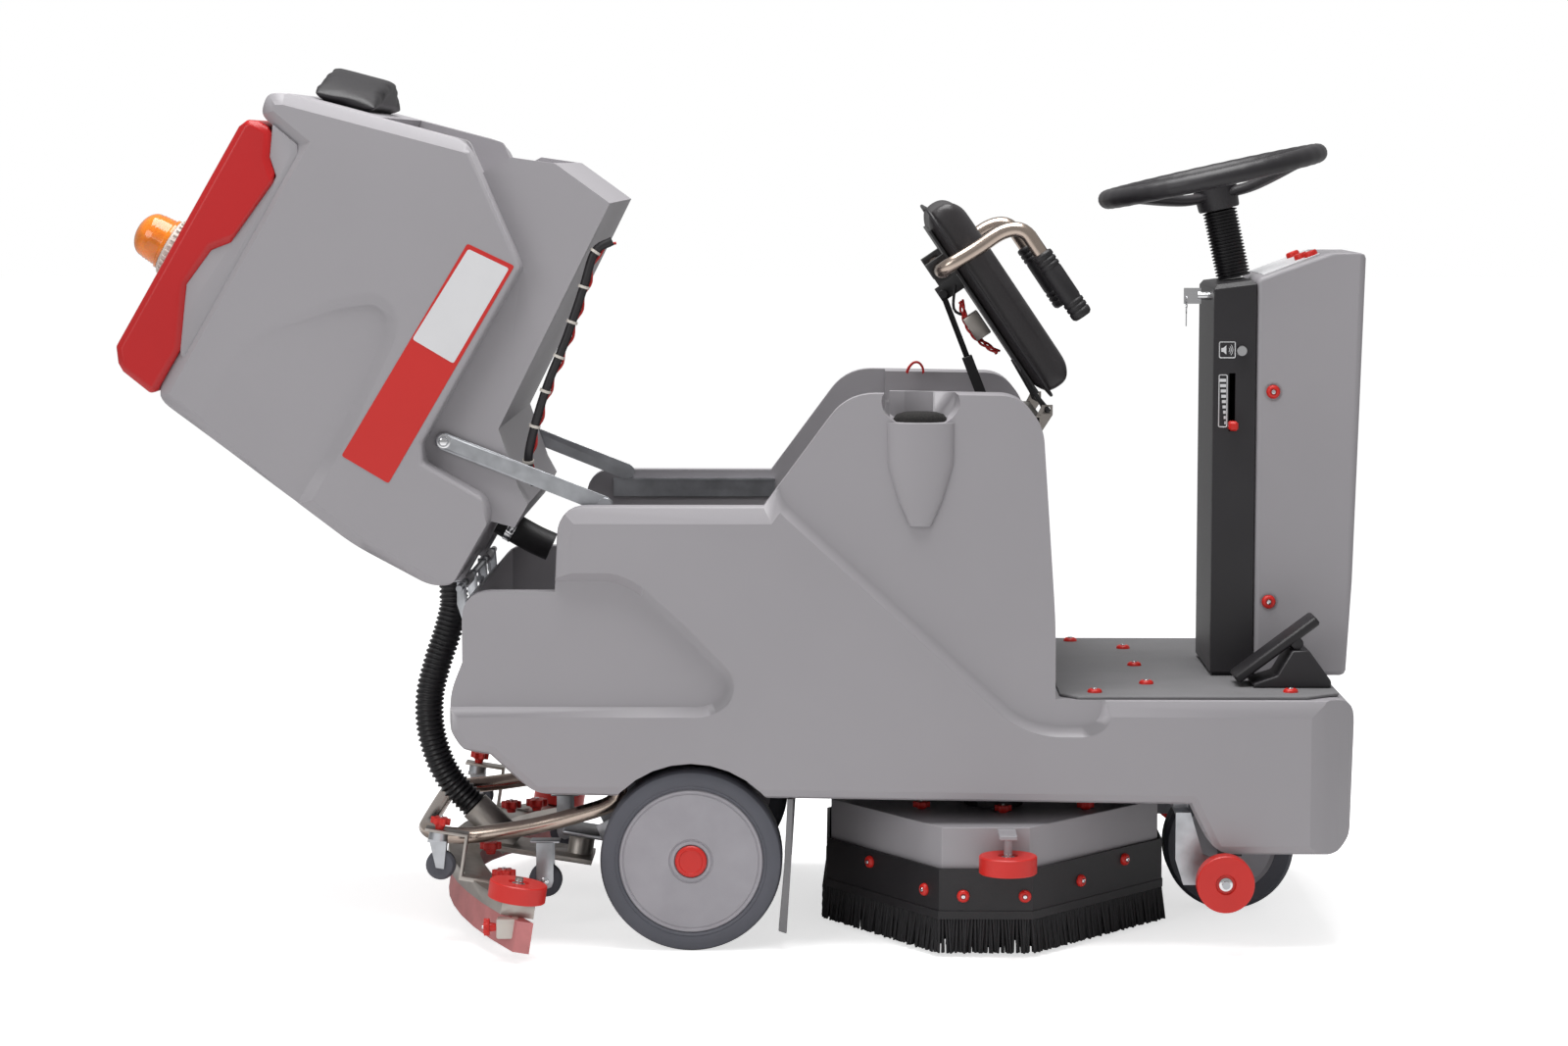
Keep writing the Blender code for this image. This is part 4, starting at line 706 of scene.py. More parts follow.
class SCRUBBER_OT_suction_hose(Operator):
    """Corrugated hose from the tank's hinge shelf down to the squeegee"""
    bl_idname = "scrubber.suction_hose"
    bl_label = "Suction hose"

    def execute(self, context):
        route = [(AXLE_X + x, y, z) for x, y, z in SUCTION_ROUTE]
        hose = ribbed("suction_hose_ribbed", route, SUCTION_RADIUS, sizes().hose_pitch, as_mesh=False)
        _, length = route_through(route, 0.005)
        settle(hose, "machine", "black_rubber", "suction_hose", look="hose_black")
        return {"FINISHED"}


class SCRUBBER_OT_drain_hose(Operator):
    """Corrugated drain hose held along the back of the tank, with its red bands and black plug"""
    bl_idname = "scrubber.drain_hose"
    bl_label = "Drain hose"

    def execute(self, context):
        hose = place(ribbed("drain_hose_ribbed", DRAIN_ROUTE, DRAIN_RADIUS * 0.98, sizes().hose_pitch),
                     TANK)
        settle(hose, "tank", "black_rubber", "drain_hose", look="hose_black")
        points, _ = route_through(DRAIN_ROUTE, 0.004)
        for number, (start, end, radius, slot) in enumerate((
                (0.26, 0.33, 1.06, "moulded_red"), (0.50, 0.66, 1.12, "black_plastic"),
                (0.68, 0.76, 1.05, "moulded_red"), (0.92, 1.0, 1.08, "black_plastic"))):
            first, last = int(start * len(points)), int(end * len(points))
            sleeve = tube(f"drain_hose_band_{number}", points[first:last], DRAIN_RADIUS * radius, 6)
            settle(place(sleeve, TANK), "tank", slot)
        return {"FINISHED"}


# ---------------------------------------------------------------- body

PANEL = [(-0.380, 0.360), (0.020, 0.360), (0.048, 0.374), (0.052, 0.402), (-0.015, 0.470), (-0.080, 0.530),
         (-0.112, 0.545), (-0.380, 0.545)]
PEDESTAL = [(0.128, 0.668), (0.476, 0.350), (0.520, 0.334), (0.600, 0.334), (0.600, 0.900), (0.128, 0.900)]
RECESS = 0.018
FILLER_X = 0.334
BODY_OUTLINE = [(-0.334, 0.529), (-0.334, 0.425), (-0.352, 0.380), (-0.352, 0.325), (-0.334, 0.297),
                (-0.293, 0.290), (-0.229, 0.231), (0.728, 0.219), (0.765, 0.145), (0.946, 0.145),
                (0.968, 0.167), (0.976, 0.372), (0.532, 0.372), (0.532, 0.480), (0.512, 0.772),
                (0.476, 0.815), (0.228, 0.819), (0.106, 0.654), (-0.192, 0.654), (-0.198, 0.529)]
BODY_EDGE = [(-0.60, -0.10), (1.20, -0.10), (1.20, 0.372), (0.532, 0.372), (0.532, 0.480), (0.512, 0.772),
             (0.476, 0.815), (0.228, 0.819), (0.106, 0.654), (-0.192, 0.654), (-0.198, 0.529),
             (-0.60, 0.529)]


def slope_sides(obj, outline, face, depth, width, frame_matrix):
    """Slope the edges of both flat sides: what lies outside the drawn-in outline is cut away at an angle."""
    for side, word in SIDES:
        start = side * (face - depth)
        low, high = sorted((start, side * (face + 0.0008)))
        blank = box(f"blank_{word}", (-3, low, -3), (3, high, 3))
        wide = spread(outline, 0.004 * width / depth)
        core = ring_of(f"core_{word}", [(u, start - side * 0.004, v) for u, v in wide])
        inner = spread(outline, -width * (depth + 0.001) / depth)
        edit(core)
        bpy.ops.mesh.extrude_region_move(TRANSFORM_OT_translate={"value": (0, side * (depth + 0.005), 0)})
        bpy.ops.object.mode_set(mode="OBJECT")
        for vertex in core.data.vertices:
            if side * vertex.co.y > face - 0.5 * depth:
                vertex.co.x, vertex.co.z = inner[nearest(wide, vertex.co)]
        edit(core)
        close(core)
        combine(blank, "DIFFERENCE", core)
        combine(obj, "DIFFERENCE", place(blank, frame_matrix))
    return obj


class SCRUBBER_OT_body(Operator):
    """Rotomoulded body: recessed side panel and pedestal, filler funnel and rounded rims"""
    bl_idname = "scrubber.body"
    bl_label = "Body"

    def execute(self, context):
        shell = copy_of("body_shell", "body_moulding")
        combine(shell, "INTERSECT", place(plate("body_outline", rounded(BODY_OUTLINE, 0.042, 7), -0.5, 0.5),
                                          MACHINE))
        slope_sides(shell, BODY_EDGE, BODY_FACE, 0.011, 0.024, MACHINE)
        for side, word in SIDES:
            face = side * BODY_FACE
            for name, outline, flare, radius in (("panel", PANEL, 0.020, 0.014),
                                                 ("pedestal", PEDESTAL, 0.022, 0.030)):
                tool = dish(f"{name}_{word}", rounded(outline, radius), face - side * RECESS,
                            face + side * RECESS * 0.5, flare)
                combine(shell, "DIFFERENCE", place(tool, MACHINE))
        mouth = oval_outline(FILLER_X, 0.806, 0.054, 0.036)
        combine(shell, "DIFFERENCE", place(dish("filler_mouth", mouth, -0.262, -0.362, 0.004), MACHINE))
        settle(even(shell, 24), "machine", "moulded_grey", "body_shell")
        funnel()
        return {"FINISHED"}


FUNNEL_TOP = 0.776
FUNNEL_STEPS = ((-0.060, 0.0480), (-0.110, 0.0330), (-0.150, 0.0150))


def funnel():
    """The pouring funnel that stands out under the filler mouth, narrowing step by step."""
    turns = [math.pi * step / 12 for step in range(13)]
    rim = [(FILLER_X - 0.049 * math.cos(turn), -0.331 - 0.018 * math.sin(turn), FUNNEL_TOP)
           for turn in turns]
    bulge = ring_of("filler_funnel", rim)
    edit(bulge)
    for drop, half in FUNNEL_STEPS:
        height = FUNNEL_TOP + drop
        bpy.ops.mesh.extrude_region_move(TRANSFORM_OT_translate={"value": (0, 0,
                                                                           height - current_height(bulge))})
        scale = half / current_half(bulge)
        bpy.ops.transform.resize(value=(scale, scale, 1), center_override=(FILLER_X, -0.3365, height))
    close(bulge)
    settle(place(smooth(bulge, 50), MACHINE), "machine", "moulded_grey")


def selected_points(obj):
    """Places of the points that are selected in edit mode."""
    obj.update_from_editmode()
    return [v.co for v in obj.data.vertices if v.select]


def current_height(obj):
    return sum(p.z for p in selected_points(obj)) / len(selected_points(obj))


def current_half(obj):
    return (max(p.x for p in selected_points(obj)) - min(p.x for p in selected_points(obj))) / 2


class SCRUBBER_OT_filler(Operator):
    """Rim and foam strainer of the filler mouth"""
    bl_idname = "scrubber.filler"
    bl_label = "Filler mouth"

    def execute(self, context):
        oval = shift(FILLER_X, -0.295, 0) @ Matrix.Diagonal((1.0, 0.92, 1, 1))
        strainer = turned("filler_strainer", [(0, 0.7900), (0.024, 0.7893), (0.034, 0.7865),
                                              (0.0385, 0.7810), (0.0390, 0.7700), (0.0385, 0.740),
                                              (0, 0.740)], 48)
        settle(place(strainer, MACHINE, oval), "machine", "black_rubber", look="foam_black")
        rim = turned("filler_rim", [(0.0392, 0.7715), (0.0398, 0.7755), (0.044, 0.7765), (0.049, 0.7750),
                                    (0.0505, 0.7715)], 48)
        settle(place(rim, MACHINE, oval), "machine", "moulded_grey")
        return {"FINISHED"}


# ---------------------------------------------------------------- tank and lid

TANK_INNER = 0.2834
TANK_WIDE = [(0.118, 0.009), (0.006, 0.009), (-0.010, 0.040), (-0.014, 0.164), (0.016, 0.400),
             (0.030, 0.520), (0.450, 0.520), (0.462, 0.586), (0.494, 0.592), (0.507, 0.570), (0.578, 0.310),
             (0.470, 0.164), (0.458, 0.150), (0.166, 0.150), (0.142, 0.134), (0.142, 0.032)]
TANK_EDGE = [(-0.012, -0.25), (-0.014, 0.164), (0.016, 0.400), (0.030, 0.520), (0.450, 0.520),
             (0.462, 0.586), (0.494, 0.592), (0.507, 0.570), (0.578, 0.310), (0.640, -0.25)]
TANK_PANEL = [(-0.080, 0.268), (0.111, 0.263), (0.279, 0.275), (0.304, 0.289), (0.306, 0.311),
              (0.274, 0.353), (0.194, 0.422), (0.150, 0.446), (-0.080, 0.446)]
BAND = [(0.091, 0.163), (0.457, 0.160), (0.451, 0.235), (0.092, 0.242)]
BAND_BLOCK = [(0.290, 0.167), (0.450, 0.165), (0.445, 0.230), (0.291, 0.236)]


class SCRUBBER_OT_tank(Operator):
    """Rotomoulded recovery tank with sloped side edges and a sunk panel that fades out upwards"""
    bl_idname = "scrubber.tank"
    bl_label = "Recovery tank"

    def execute(self, context):
        tank = copy_of("recovery_tank", "tank_moulding")
        outline = plate("tank_outline", rounded(TANK_WIDE, 0.026, 6), -0.5, 0.5)
        middle = box("tank_middle", (-1, -TANK_INNER, -1), (1, TANK_INNER, 1))
        combine(tank, "INTERSECT", place(combine(outline, "UNION", middle), TANK))
        slope_sides(tank, TANK_EDGE, TANK_FACE, 0.010, 0.017, TANK)
        for side, word in SIDES:
            tool = dish(f"panel_{word}", rounded(TANK_PANEL, 0.030), side * 0.3235, side * 0.340, 0.026,
                        lambda u, v: 0.011 * min(1.0, max(0.0, (v - 0.31) / 0.14)))
            combine(tank, "DIFFERENCE", place(tool, TANK))
        settle(even(tank, 24), "tank", "moulded_grey", "recovery_tank")
        return {"FINISHED"}


NECK = [(0.100, 0.516), (0.110, 0.522), (0.156, 0.5425), (0.196, 0.5595), (0.257, 0.5525), (0.281, 0.5335),
        (0.396, 0.5220), (0.416, 0.5445), (0.4520, 0.5605), (0.4600, 0.5640), (0.4520, 0.5180),
        (0.4400, 0.5100), (0.100, 0.5100)]


class SCRUBBER_OT_tank_neck(Operator):
    """Sides of the tank's neck, which show in the notches of the lid"""
    bl_idname = "scrubber.tank_neck"
    bl_label = "Tank neck"

    def execute(self, context):
        for side, word in SIDES:
            low, high = sorted((side * 0.318, side * 0.3315))
            wall_piece = plate(f"tank_neck_{word}", NECK, low, high, edge=0.003)
            settle(place(wall_piece, TANK), "tank", "moulded_grey")
        return {"FINISHED"}


class SCRUBBER_OT_tank_band(Operator):
    """Plain red band with a paler block on each side of the tank"""
    bl_idname = "scrubber.tank_band"
    bl_label = "Side bands"

    def execute(self, context):
        for side, word in SIDES:
            for name, outline, out, slot, look in (("band_red", BAND, 0.0006, "moulded_red", "label_red"),
                                                   ("band_pale", BAND_BLOCK, 0.0009, "moulded_grey",
                                                    "label_pale")):
                low, high = sorted((side * (TANK_FACE - 0.0004), side * (TANK_FACE + out)))
                film = plate(f"{name}_{word}", rounded(outline, 0.004), low, high)
                settle(place(film, TANK), "tank", slot, look=look)
        return {"FINISHED"}


LINK_PIVOT = Vector((0.1794, 0.2917, 0.1265))
SUMP_X = 0.083
SUMP_RADIUS = 0.0225


class SCRUBBER_OT_tank_fittings(Operator):
    """Link pivots, harness with its clips, sump elbow and hose clamp"""
    bl_idname = "scrubber.tank_fittings"
    bl_label = "Tank fittings"

    def execute(self, context):
        for side, word in SIDES:
            pivot = bolt_head(f"link_pivot_{word}", 0.0105)
            at = TANK @ shift(LINK_PIVOT.x, side * LINK_PIVOT.y, LINK_PIVOT.z) @ facing(side)
            settle(place(pivot, at), "tank", "plated_steel", look="chrome")
        harness()
        drop, _ = route_through([(SUMP_X, 0, 0.006), (SUMP_X, 0, -0.050), (SUMP_X + 0.003, 0, -0.083)],
                                0.006)
        elbow = tube("sump_elbow", drop, SUMP_RADIUS, 8)
        settle(place(elbow, TANK), "tank", "black_rubber", "sump_pipe")
        clamp = turned("sump_clamp", [(0.0226, -0.006), (0.0240, -0.006), (0.0240, 0.006), (0.0226, 0.006)],
                       48)
        screw = box("clamp_screw", (-0.006, -0.034, -0.005), (0.006, -0.0235, 0.005), 0.0015)
        settle(place(merge("sump_clamp", clamp, screw), TANK, shift(SUMP_X, 0, -0.016)), "tank",
               "plated_steel", look="chrome")
        return {"FINISHED"}


HARNESS_ROUTE = [(0.556, -0.272, 0.058), (0.529, -0.274, 0.072), (0.472, -0.274, 0.060),
                 (0.399, -0.274, 0.046), (0.326, -0.274, 0.036), (0.262, -0.270, 0.022),
                 (0.214, -0.262, 0.006), (0.186, -0.240, -0.018)]


def harness():
    """Black sheathed harness along the skirt's underside, with a red wire beside it and pale clips."""
    points, _ = route_through(HARNESS_ROUTE, 0.006)
    sheath = tube("harness_sheath", points, 0.0065, 5)
    settle(place(sheath, TANK), "tank", "black_rubber")
    wave = [p + Vector((0, 0.004, -0.0062 + 0.0025 * math.sin(i * 0.9))) for i, p in enumerate(points[:-4])]
    settle(place(tube("harness_wire", wave, 0.0021, 4), TANK), "tank", "moulded_red", look="wire_red")
    clip = turned("clip", [(0.0069, -0.002), (0.0086, -0.002), (0.0086, 0.002), (0.0069, 0.002)], 20)
    tail = box("clip_tail", (-0.0016, -0.004, 0.0078), (0.0016, 0.004, 0.0165), 0.0006)
    clip = merge("clip", clip, tail)
    places = []
    for index in range(5, len(points) - 5, 9):
        along = (points[index + 1] - points[index - 1]).normalized()
        turn = Vector((0, 0, 1)).rotation_difference(along).to_matrix().to_4x4()
        places.append(Matrix.Translation(points[index]) @ turn)
    settle(place(scattered("harness_clips", clip, places), TANK), "tank", "moulded_grey",
           look="pale_plastic")


class SCRUBBER_OT_lid(Operator):
    """Red tank lid"""
    bl_idname = "scrubber.lid"
    bl_label = "Tank lid"

    def execute(self, context):
        lid = even(copy_of("tank_lid", "lid_moulding", sizes().lid_edge, 34, 3))
        settle(lid, "lid", "moulded_red", "tank_lid", look="lid_red")
        return {"FINISHED"}


BEACON_FOOT = (0.196, 0, 0.6042)
BEACON_RIBS = 30


class SCRUBBER_OT_beacon(Operator):
    """Amber warning beacon on a pale ribbed base"""
    bl_idname = "scrubber.beacon"
    bl_label = "Beacon"

    def execute(self, context):
        here = TANK @ Matrix.Translation(BEACON_FOOT)
        base = turned("beacon_base", [(0, 0), (0.0455, 0), (0.046, 0.004), (0.0445, 0.010), (0.0425, 0.050),
                                      (0.040, 0.052), (0, 0.052)], 48)
        rib = box("rib", (0.0425, -0.0012, 0.006), (0.0462, 0.0012, 0.048), 0.0005)
        ribs = scattered("ribs", rib, [Matrix.Rotation(2 * math.pi * i / BEACON_RIBS, 4, "Z")
                                       for i in range(BEACON_RIBS)])
        settle(place(merge("beacon_base", base, ribs), here), "lid", "amber_lens", "beacon",
               look="pale_plastic")
        lens = [(0, 0.0522), (0.0405, 0.0522), (0.0405, 0.0560)]
        for step in range(5):
            height = 0.0570 + step * 0.0050
            lens += [(0.0384 - step * 0.0004, height), (0.0372 - step * 0.0004, height + 0.0025)]
        for step in range(1, 11):
            angle = QUARTER * step / 10
            lens.append((0.0355 * math.cos(angle), 0.0815 + 0.0243 * math.sin(angle)))
        settle(place(turned("beacon_lens", lens, 56, 60), here), "lid", "amber_lens")
        return {"FINISHED"}


# ---------------------------------------------------------------- wheels and rollers

class SCRUBBER_OT_rear_wheels(Operator):
    """Rear wheels: grey tyre, cast disc and red hub cap"""
    bl_idname = "scrubber.rear_wheels"
    bl_label = "Rear wheels"

    def execute(self, context):
        r = WHEEL_RADIUS
        for side, word in SIDES:
            here = shift(AXLE_X, side * WHEEL_INNER_Y, r) @ facing(side)
            body = f"rear_wheel_{word}"
            tyre = turned(f"tyre_{word}", [(0.1060, 0.004), (0.122, 0.000), (0.130, 0.0035), (r, 0.009),
                                           (r, 0.0338), (r - 0.0014, 0.0344), (r - 0.0014, 0.0356),
                                           (r, 0.0362), (r, 0.061), (0.1305, 0.0672), (0.1240, 0.0698),
                                           (0.1130, 0.0700), (0.1115, 0.0692), (0.1100, 0.0700),
                                           (0.1075, 0.0690), (0.1060, 0.0672)], 96)
            settle(place(tyre, here), body, "grey_rubber", body)
            disc = turned(f"disc_{word}", [(0, 0.004), (0.1058, 0.004), (0.1058, 0.0660), (0.1040, 0.0682),
                                           (0.1010, 0.0682), (0.1000, 0.0668), (0.0990, 0.0668),
                                           (0.0978, 0.0678), (0.0600, 0.0684), (0.0330, 0.0686),
                                           (0.0318, 0.0668), (0.0304, 0.0668), (0.0292, 0.0682),
                                           (0.0250, 0.0682), (0.0240, 0.0650), (0, 0.0650)], 96, 24)
            settle(place(disc, here), body, "grey_rubber", look="disc_grey")
            hub = turned(f"hub_cap_{word}", [(0, 0.0648), (0.0232, 0.0648), (0.0232, 0.0692),
                                             (0.0214, 0.0708), (0.0176, 0.0714), (0.0168, 0.0702),
                                             (0, 0.0702)], 64, 24)
            settle(place(hub, here), body, "moulded_red")
        return {"FINISHED"}


class SCRUBBER_OT_front_wheel(Operator):
    """Front wheel tyre and disc"""
    bl_idname = "scrubber.front_wheel"
    bl_label = "Front wheel"

    def execute(self, context):
        low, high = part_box("front_wheel")
        radius, width, middle = (high.z - low.z) / 2, high.y - low.y, (low + high) / 2
        here = shift(middle.x, low.y, middle.z) @ FACE_LEFT
        tyre = turned("front_tyre", [(0.072, 0.002), (radius - 0.006, 0), (radius, 0.007),
                                     (radius, width / 2 - 0.001), (radius - 0.0014, width / 2),
                                     (radius, width / 2 + 0.001), (radius, width - 0.007),
                                     (radius - 0.006, width), (0.072, width - 0.002)], 80)
        settle(place(tyre, here), "front_wheel", "grey_rubber", "front_wheel")
        disc = turned("front_disc", [(0, 0.006), (0.024, 0.003), (0.066, 0.006), (0.0718, 0.003),
                                     (0.0718, width - 0.003), (0.066, width - 0.006),
                                     (0.024, width - 0.003), (0, width - 0.006)], 80, 20)
        settle(place(disc, here), "front_wheel", "grey_rubber", look="disc_grey")
        return {"FINISHED"}


ROLLER_HALF = 0.013
ROLLER = [(0.0065, -0.013), (0.0405, -0.013), (0.042, -0.0115), (0.042, 0.0115), (0.0405, 0.013),
          (0.0150, 0.013), (0.0135, 0.0095), (0.0065, 0.0095)]


class SCRUBBER_OT_rollers(Operator):
    """Red bumper rollers with their bolts: two on the deck, two at the front and two on the squeegee"""
    bl_idname = "scrubber.rollers"
    bl_label = "Rollers"

    def execute(self, context):
        tilt = Matrix.Rotation(math.radians(SQUEEGEE_LEAN), 4, "Y")
        for side, word in SIDES:
            for node, carrier, turn in ((f"deck_roller_{word}", "deck", Matrix.Identity(4)),
                                        (f"guard_roller_{word}", "machine", facing(side)),
                                        (f"squeegee_roller_{word}", "squeegee", tilt)):
                low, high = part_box(node)
                middle = (low + high) / 2
                half = (high.y - low.y) / 2 if "guard" in node else ROLLER_HALF
                stretch = Matrix.Diagonal((1, 1, half / ROLLER_HALF, 1))
                here = Matrix.Translation(middle) @ turn
                settle(place(turned(f"{node}_tyre", ROLLER, 64, 30), here, stretch), node, "moulded_red",
                       node)
                bolt = bolt_head(f"{node}_bolt", 0.0098)
                settle(place(bolt, here, shift(0, 0, half - 0.0028)), carrier, "plated_steel",
                       look="chrome")
        return {"FINISHED"}


# ---------------------------------------------------------------- deck and brushes

DECK_PLAN = [(0.198, -0.130), (0.362, -0.377), (0.498, -0.377), (0.707, -0.130), (0.707, 0.130),
             (0.498, 0.377), (0.362, 0.377), (0.198, 0.130)]


# The side of the plan that each cap is on, how far along it, and its height
APRON_CAPS = ((0, 0.40, 0.112), (0, 0.88, 0.094), (1, 0.26, 0.090), (1, 0.92, 0.090), (2, 0.36, 0.096),
              (2, 0.70, 0.112))
DECK_KNOBS = ((0.340, 0.215), (0.4605, 0.245), (0.585, 0.215))


class SCRUBBER_OT_deck(Operator):
    """Brush deck cover, its rubber apron with red caps, and the bristle skirt"""
    bl_idname = "scrubber.deck"
    bl_label = "Brush deck"

    def execute(self, context):
        settle(even(copy_of("deck_shroud", "deck_cover", sizes().deck_edge, 34, 3)), "deck", "moulded_grey",
               "deck_shroud")
        apron = wall("deck_apron", DECK_PLAN, 0.0045, 0.066, 0.130)
        lip = wall("deck_apron_lip", spread(DECK_PLAN, 0.0015), 0.0085, 0.056, 0.068)
        settle(place(merge("deck_apron", apron, lip), MACHINE), "deck", "black_rubber", "deck_skirt")
        settle(place(bristle_skirt(), MACHINE), "deck", "bristle")
        for side, word in SIDES:
            flat = [(x, y * -side) for x, y in DECK_PLAN[:4]]
            for number, (edge, share, height) in enumerate(APRON_CAPS):
                start, end = Vector(flat[edge]), Vector(flat[edge + 1])
                spot = start.lerp(end, share)
                out = Vector((end.y - start.y, start.x - end.x)).normalized()
                if out.y * side < 0:
                    out.negate()
                angle = math.atan2(out.y, out.x)
                matrix = (MACHINE @ shift(spot.x, spot.y, height) @ Matrix.Rotation(angle, 4, "Z")
                          @ FACE_FRONT)
                cap(f"apron_cap_{word}_{number}", matrix, "deck", sizes().apron_cap)
            for number, (x, y) in enumerate(DECK_KNOBS):
                star_knob(f"deck_knob_{word}_{number}", MACHINE @ shift(x, side * y, 0.1895), "deck",
                          sizes().deck_knob, 0.003)
        return {"FINISHED"}


def wall(name, outline, thickness, low, high):
    """A standing strip that follows a closed plan."""
    outer = plate(name, outline, low, high, "XY")
    inner = plate(f"{name}_inside", spread(outline, -thickness), low - 0.01, high + 0.01, "XY")
    return smooth(combine(outer, "DIFFERENCE", inner), 30)


BRISTLE_TOP = 0.060


def bristle_skirt():
    """Three staggered rows of bristle bundles under the apron, splayed out a little at the floor."""
    width = sizes().bristle
    rest()
    bpy.ops.mesh.primitive_cone_add(vertices=5, radius1=width * 0.46, radius2=width * 0.56, depth=0.054,
                                    end_fill_type="NGON", location=(0, 0, 0.033))
    bundle = bpy.context.object
    bundle.name = "bundle"
    edit(bundle)
    bpy.ops.mesh.subdivide(number_cuts=1)
    bpy.ops.object.mode_set(mode="OBJECT")
    place(bundle)
    places = []
    points = [Vector(p) for p in spread(DECK_PLAN, -0.002)]
    count = 0
    for start, end in zip(points, points[1:] + points[:1]):
        along = end - start
        number = int(along.length / width)
        out = Vector((along.y, -along.x)).normalized()
        for step in range(number):
            for row in range(3):
                count += 1
                spot = start + along * ((step + 0.5 * (row % 2)) / number) - out * row * width * 0.7
                lean = 0.06 * math.sin(count * 12.9898) + 0.04 * math.sin(count * 4.1)
                splay = 0.10 + 0.05 * math.sin(count * 78.233)
                shear = Matrix.Identity(4)
                shear[0][2] = -(out.x * splay) + along.normalized().x * lean
                shear[1][2] = -(out.y * splay) + along.normalized().y * lean
                shear[2][2] = 1.0 - 0.022 * abs(math.sin(count * 3.3))
                root = shift(0, 0, BRISTLE_TOP)
                places.append(shift(spot.x, spot.y, 0) @ root @ shear @ root.inverted())
    return scattered("bristle_skirt", bundle, places)


class SCRUBBER_OT_brushes(Operator):
    """Disc brushes with rows of tufts"""
    bl_idname = "scrubber.brushes"
    bl_label = "Disc brushes"

    def execute(self, context):
        for side, word in SIDES:
            low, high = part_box(f"brush_{word}")
            middle, radius = (low + high) / 2, (high.x - low.x) / 2
            back = turned(f"brush_back_{word}", [(0, 0.045), (radius - 0.018, 0.045),
                                                 (radius - 0.012, 0.050), (radius - 0.012, high.z - 0.004),
                                                 (radius - 0.016, high.z), (0.030, high.z),
                                                 (0.030, high.z - 0.004), (0, high.z - 0.004)], 72)
            here = shift(middle.x, middle.y, 0)
            settle(place(back, here), f"brush_{word}", "black_plastic", f"brush_{word}")
            rest()
            bpy.ops.mesh.primitive_cone_add(vertices=6, radius1=0.0075, radius2=0.0045, depth=0.046,
                                            location=(0, 0, 0.023))
            tuft = place(bpy.context.object)
            places = []
            for ring, number in ((radius - 0.022, 48), (radius - 0.046, 40), (radius - 0.070, 30),
                                 (radius - 0.094, 20)):
                for step in range(number):
                    angle = 2 * math.pi * step / number
                    places.append(shift(ring * math.cos(angle), ring * math.sin(angle), 0))
            settle(place(scattered(f"brush_tufts_{word}", tuft, places), here), f"brush_{word}", "bristle")
        return {"FINISHED"}


# ---------------------------------------------------------------- squeegee and rear guard

GUARD_HALF = [(-0.112, -0.238, 0.2357), (-0.112, -0.238, 0.2140), (-0.124, -0.238, 0.2000),
              (-0.157, -0.238, 0.1880), (-0.230, -0.238, 0.1680), (-0.300, -0.238, 0.1560),
              (-0.352, -0.230, 0.1500), (-0.386, -0.208, 0.1500), (-0.404, -0.172, 0.1500),
              (-0.408, -0.120, 0.1500)]


class SCRUBBER_OT_guard_tube(Operator):
    """Bent steel guard tube round the back"""
    bl_idname = "scrubber.guard_tube"
    bl_label = "Rear guard tube"

    def execute(self, context):
        route = GUARD_HALF + [(x, -y, z) for x, y, z in reversed(GUARD_HALF)]
        points, _ = route_through(route, 0.010)
        settle(place(tube("guard_tube", points, 0.0125, 8), MACHINE), "machine", "polished_steel",
               "rear_guard_tube")
        return {"FINISHED"}


END_CLAMP_Y = 0.4235


class SCRUBBER_OT_squeegee(Operator):
    """Squeegee beam, blade, casters, clamps and star knobs"""
    bl_idname = "scrubber.squeegee"
    bl_label = "Squeegee"

    def execute(self, context):
        recast("squeegee_beam", "squeegee_channel", "squeegee", "plated_steel", 0.0012, look="dull_steel")
        recast("squeegee_blade", "squeegee_rubber", "squeegee", "red_rubber")
        recast("squeegee_lift_arm", "squeegee_arm_plates", "squeegee_arm", "plated_steel", 0.001, 1)
        for side, word in SIDES:
            top = SQUEEGEE @ shift(-0.293, side * 0.300, -0.0218)
            star_knob(f"caster_knob_{word}", top, "squeegee", sizes().caster_knob, 0.007)
            for name, x, y, z, size in (("inner", -0.309, 0.178, 0.1130, 0.0165),
                                        ("outer", -0.278, 0.302, 0.0940, 0.0180)):
                clamp = MACHINE @ shift(x, side * y, z)
                star_knob(f"beam_knob_{name}_{word}", clamp, "squeegee", size, 0.007)
            block = box(f"end_clamp_{word}", (-0.278, -0.010, 0.036), (-0.246, 0.010, 0.066), 0.003)
            settle(place(block, MACHINE, shift(0, side * END_CLAMP_Y, 0)), "squeegee", "plated_steel",
                   look="pale_plastic")
            pointing = MACHINE @ shift(-0.278, side * END_CLAMP_Y, 0.052) @ FACE_BACK
            star_knob(f"end_knob_{word}", pointing, "squeegee", sizes().deck_knob, 0.010)
            support_wheel(side, word)
            low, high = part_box(f"caster_wheel_{word}")
            middle, radius, width = (low + high) / 2, 0.022, high.y - low.y
            turn = shift(middle.x, low.y, middle.z) @ FACE_LEFT
            tyre = turned(f"caster_tyre_{word}", [(0.0035, 0.001), (0.012, 0), (0.018, 0), (radius, 0.004),
                                                  (radius, width - 0.004), (0.018, width), (0.012, width),
                                                  (0.0035, width - 0.001)], 40)
            settle(place(tyre, turn), f"caster_wheel_{word}", "black_rubber", f"caster_wheel_{word}",
                   look="grey_rubber")
            fork = copy_of(f"caster_fork_{word}", f"caster_plates_{word}", 0.0006, 34, 1)
            settle(fork, f"caster_fork_{word}", "plated_steel", f"caster_fork_{word}")
        return {"FINISHED"}


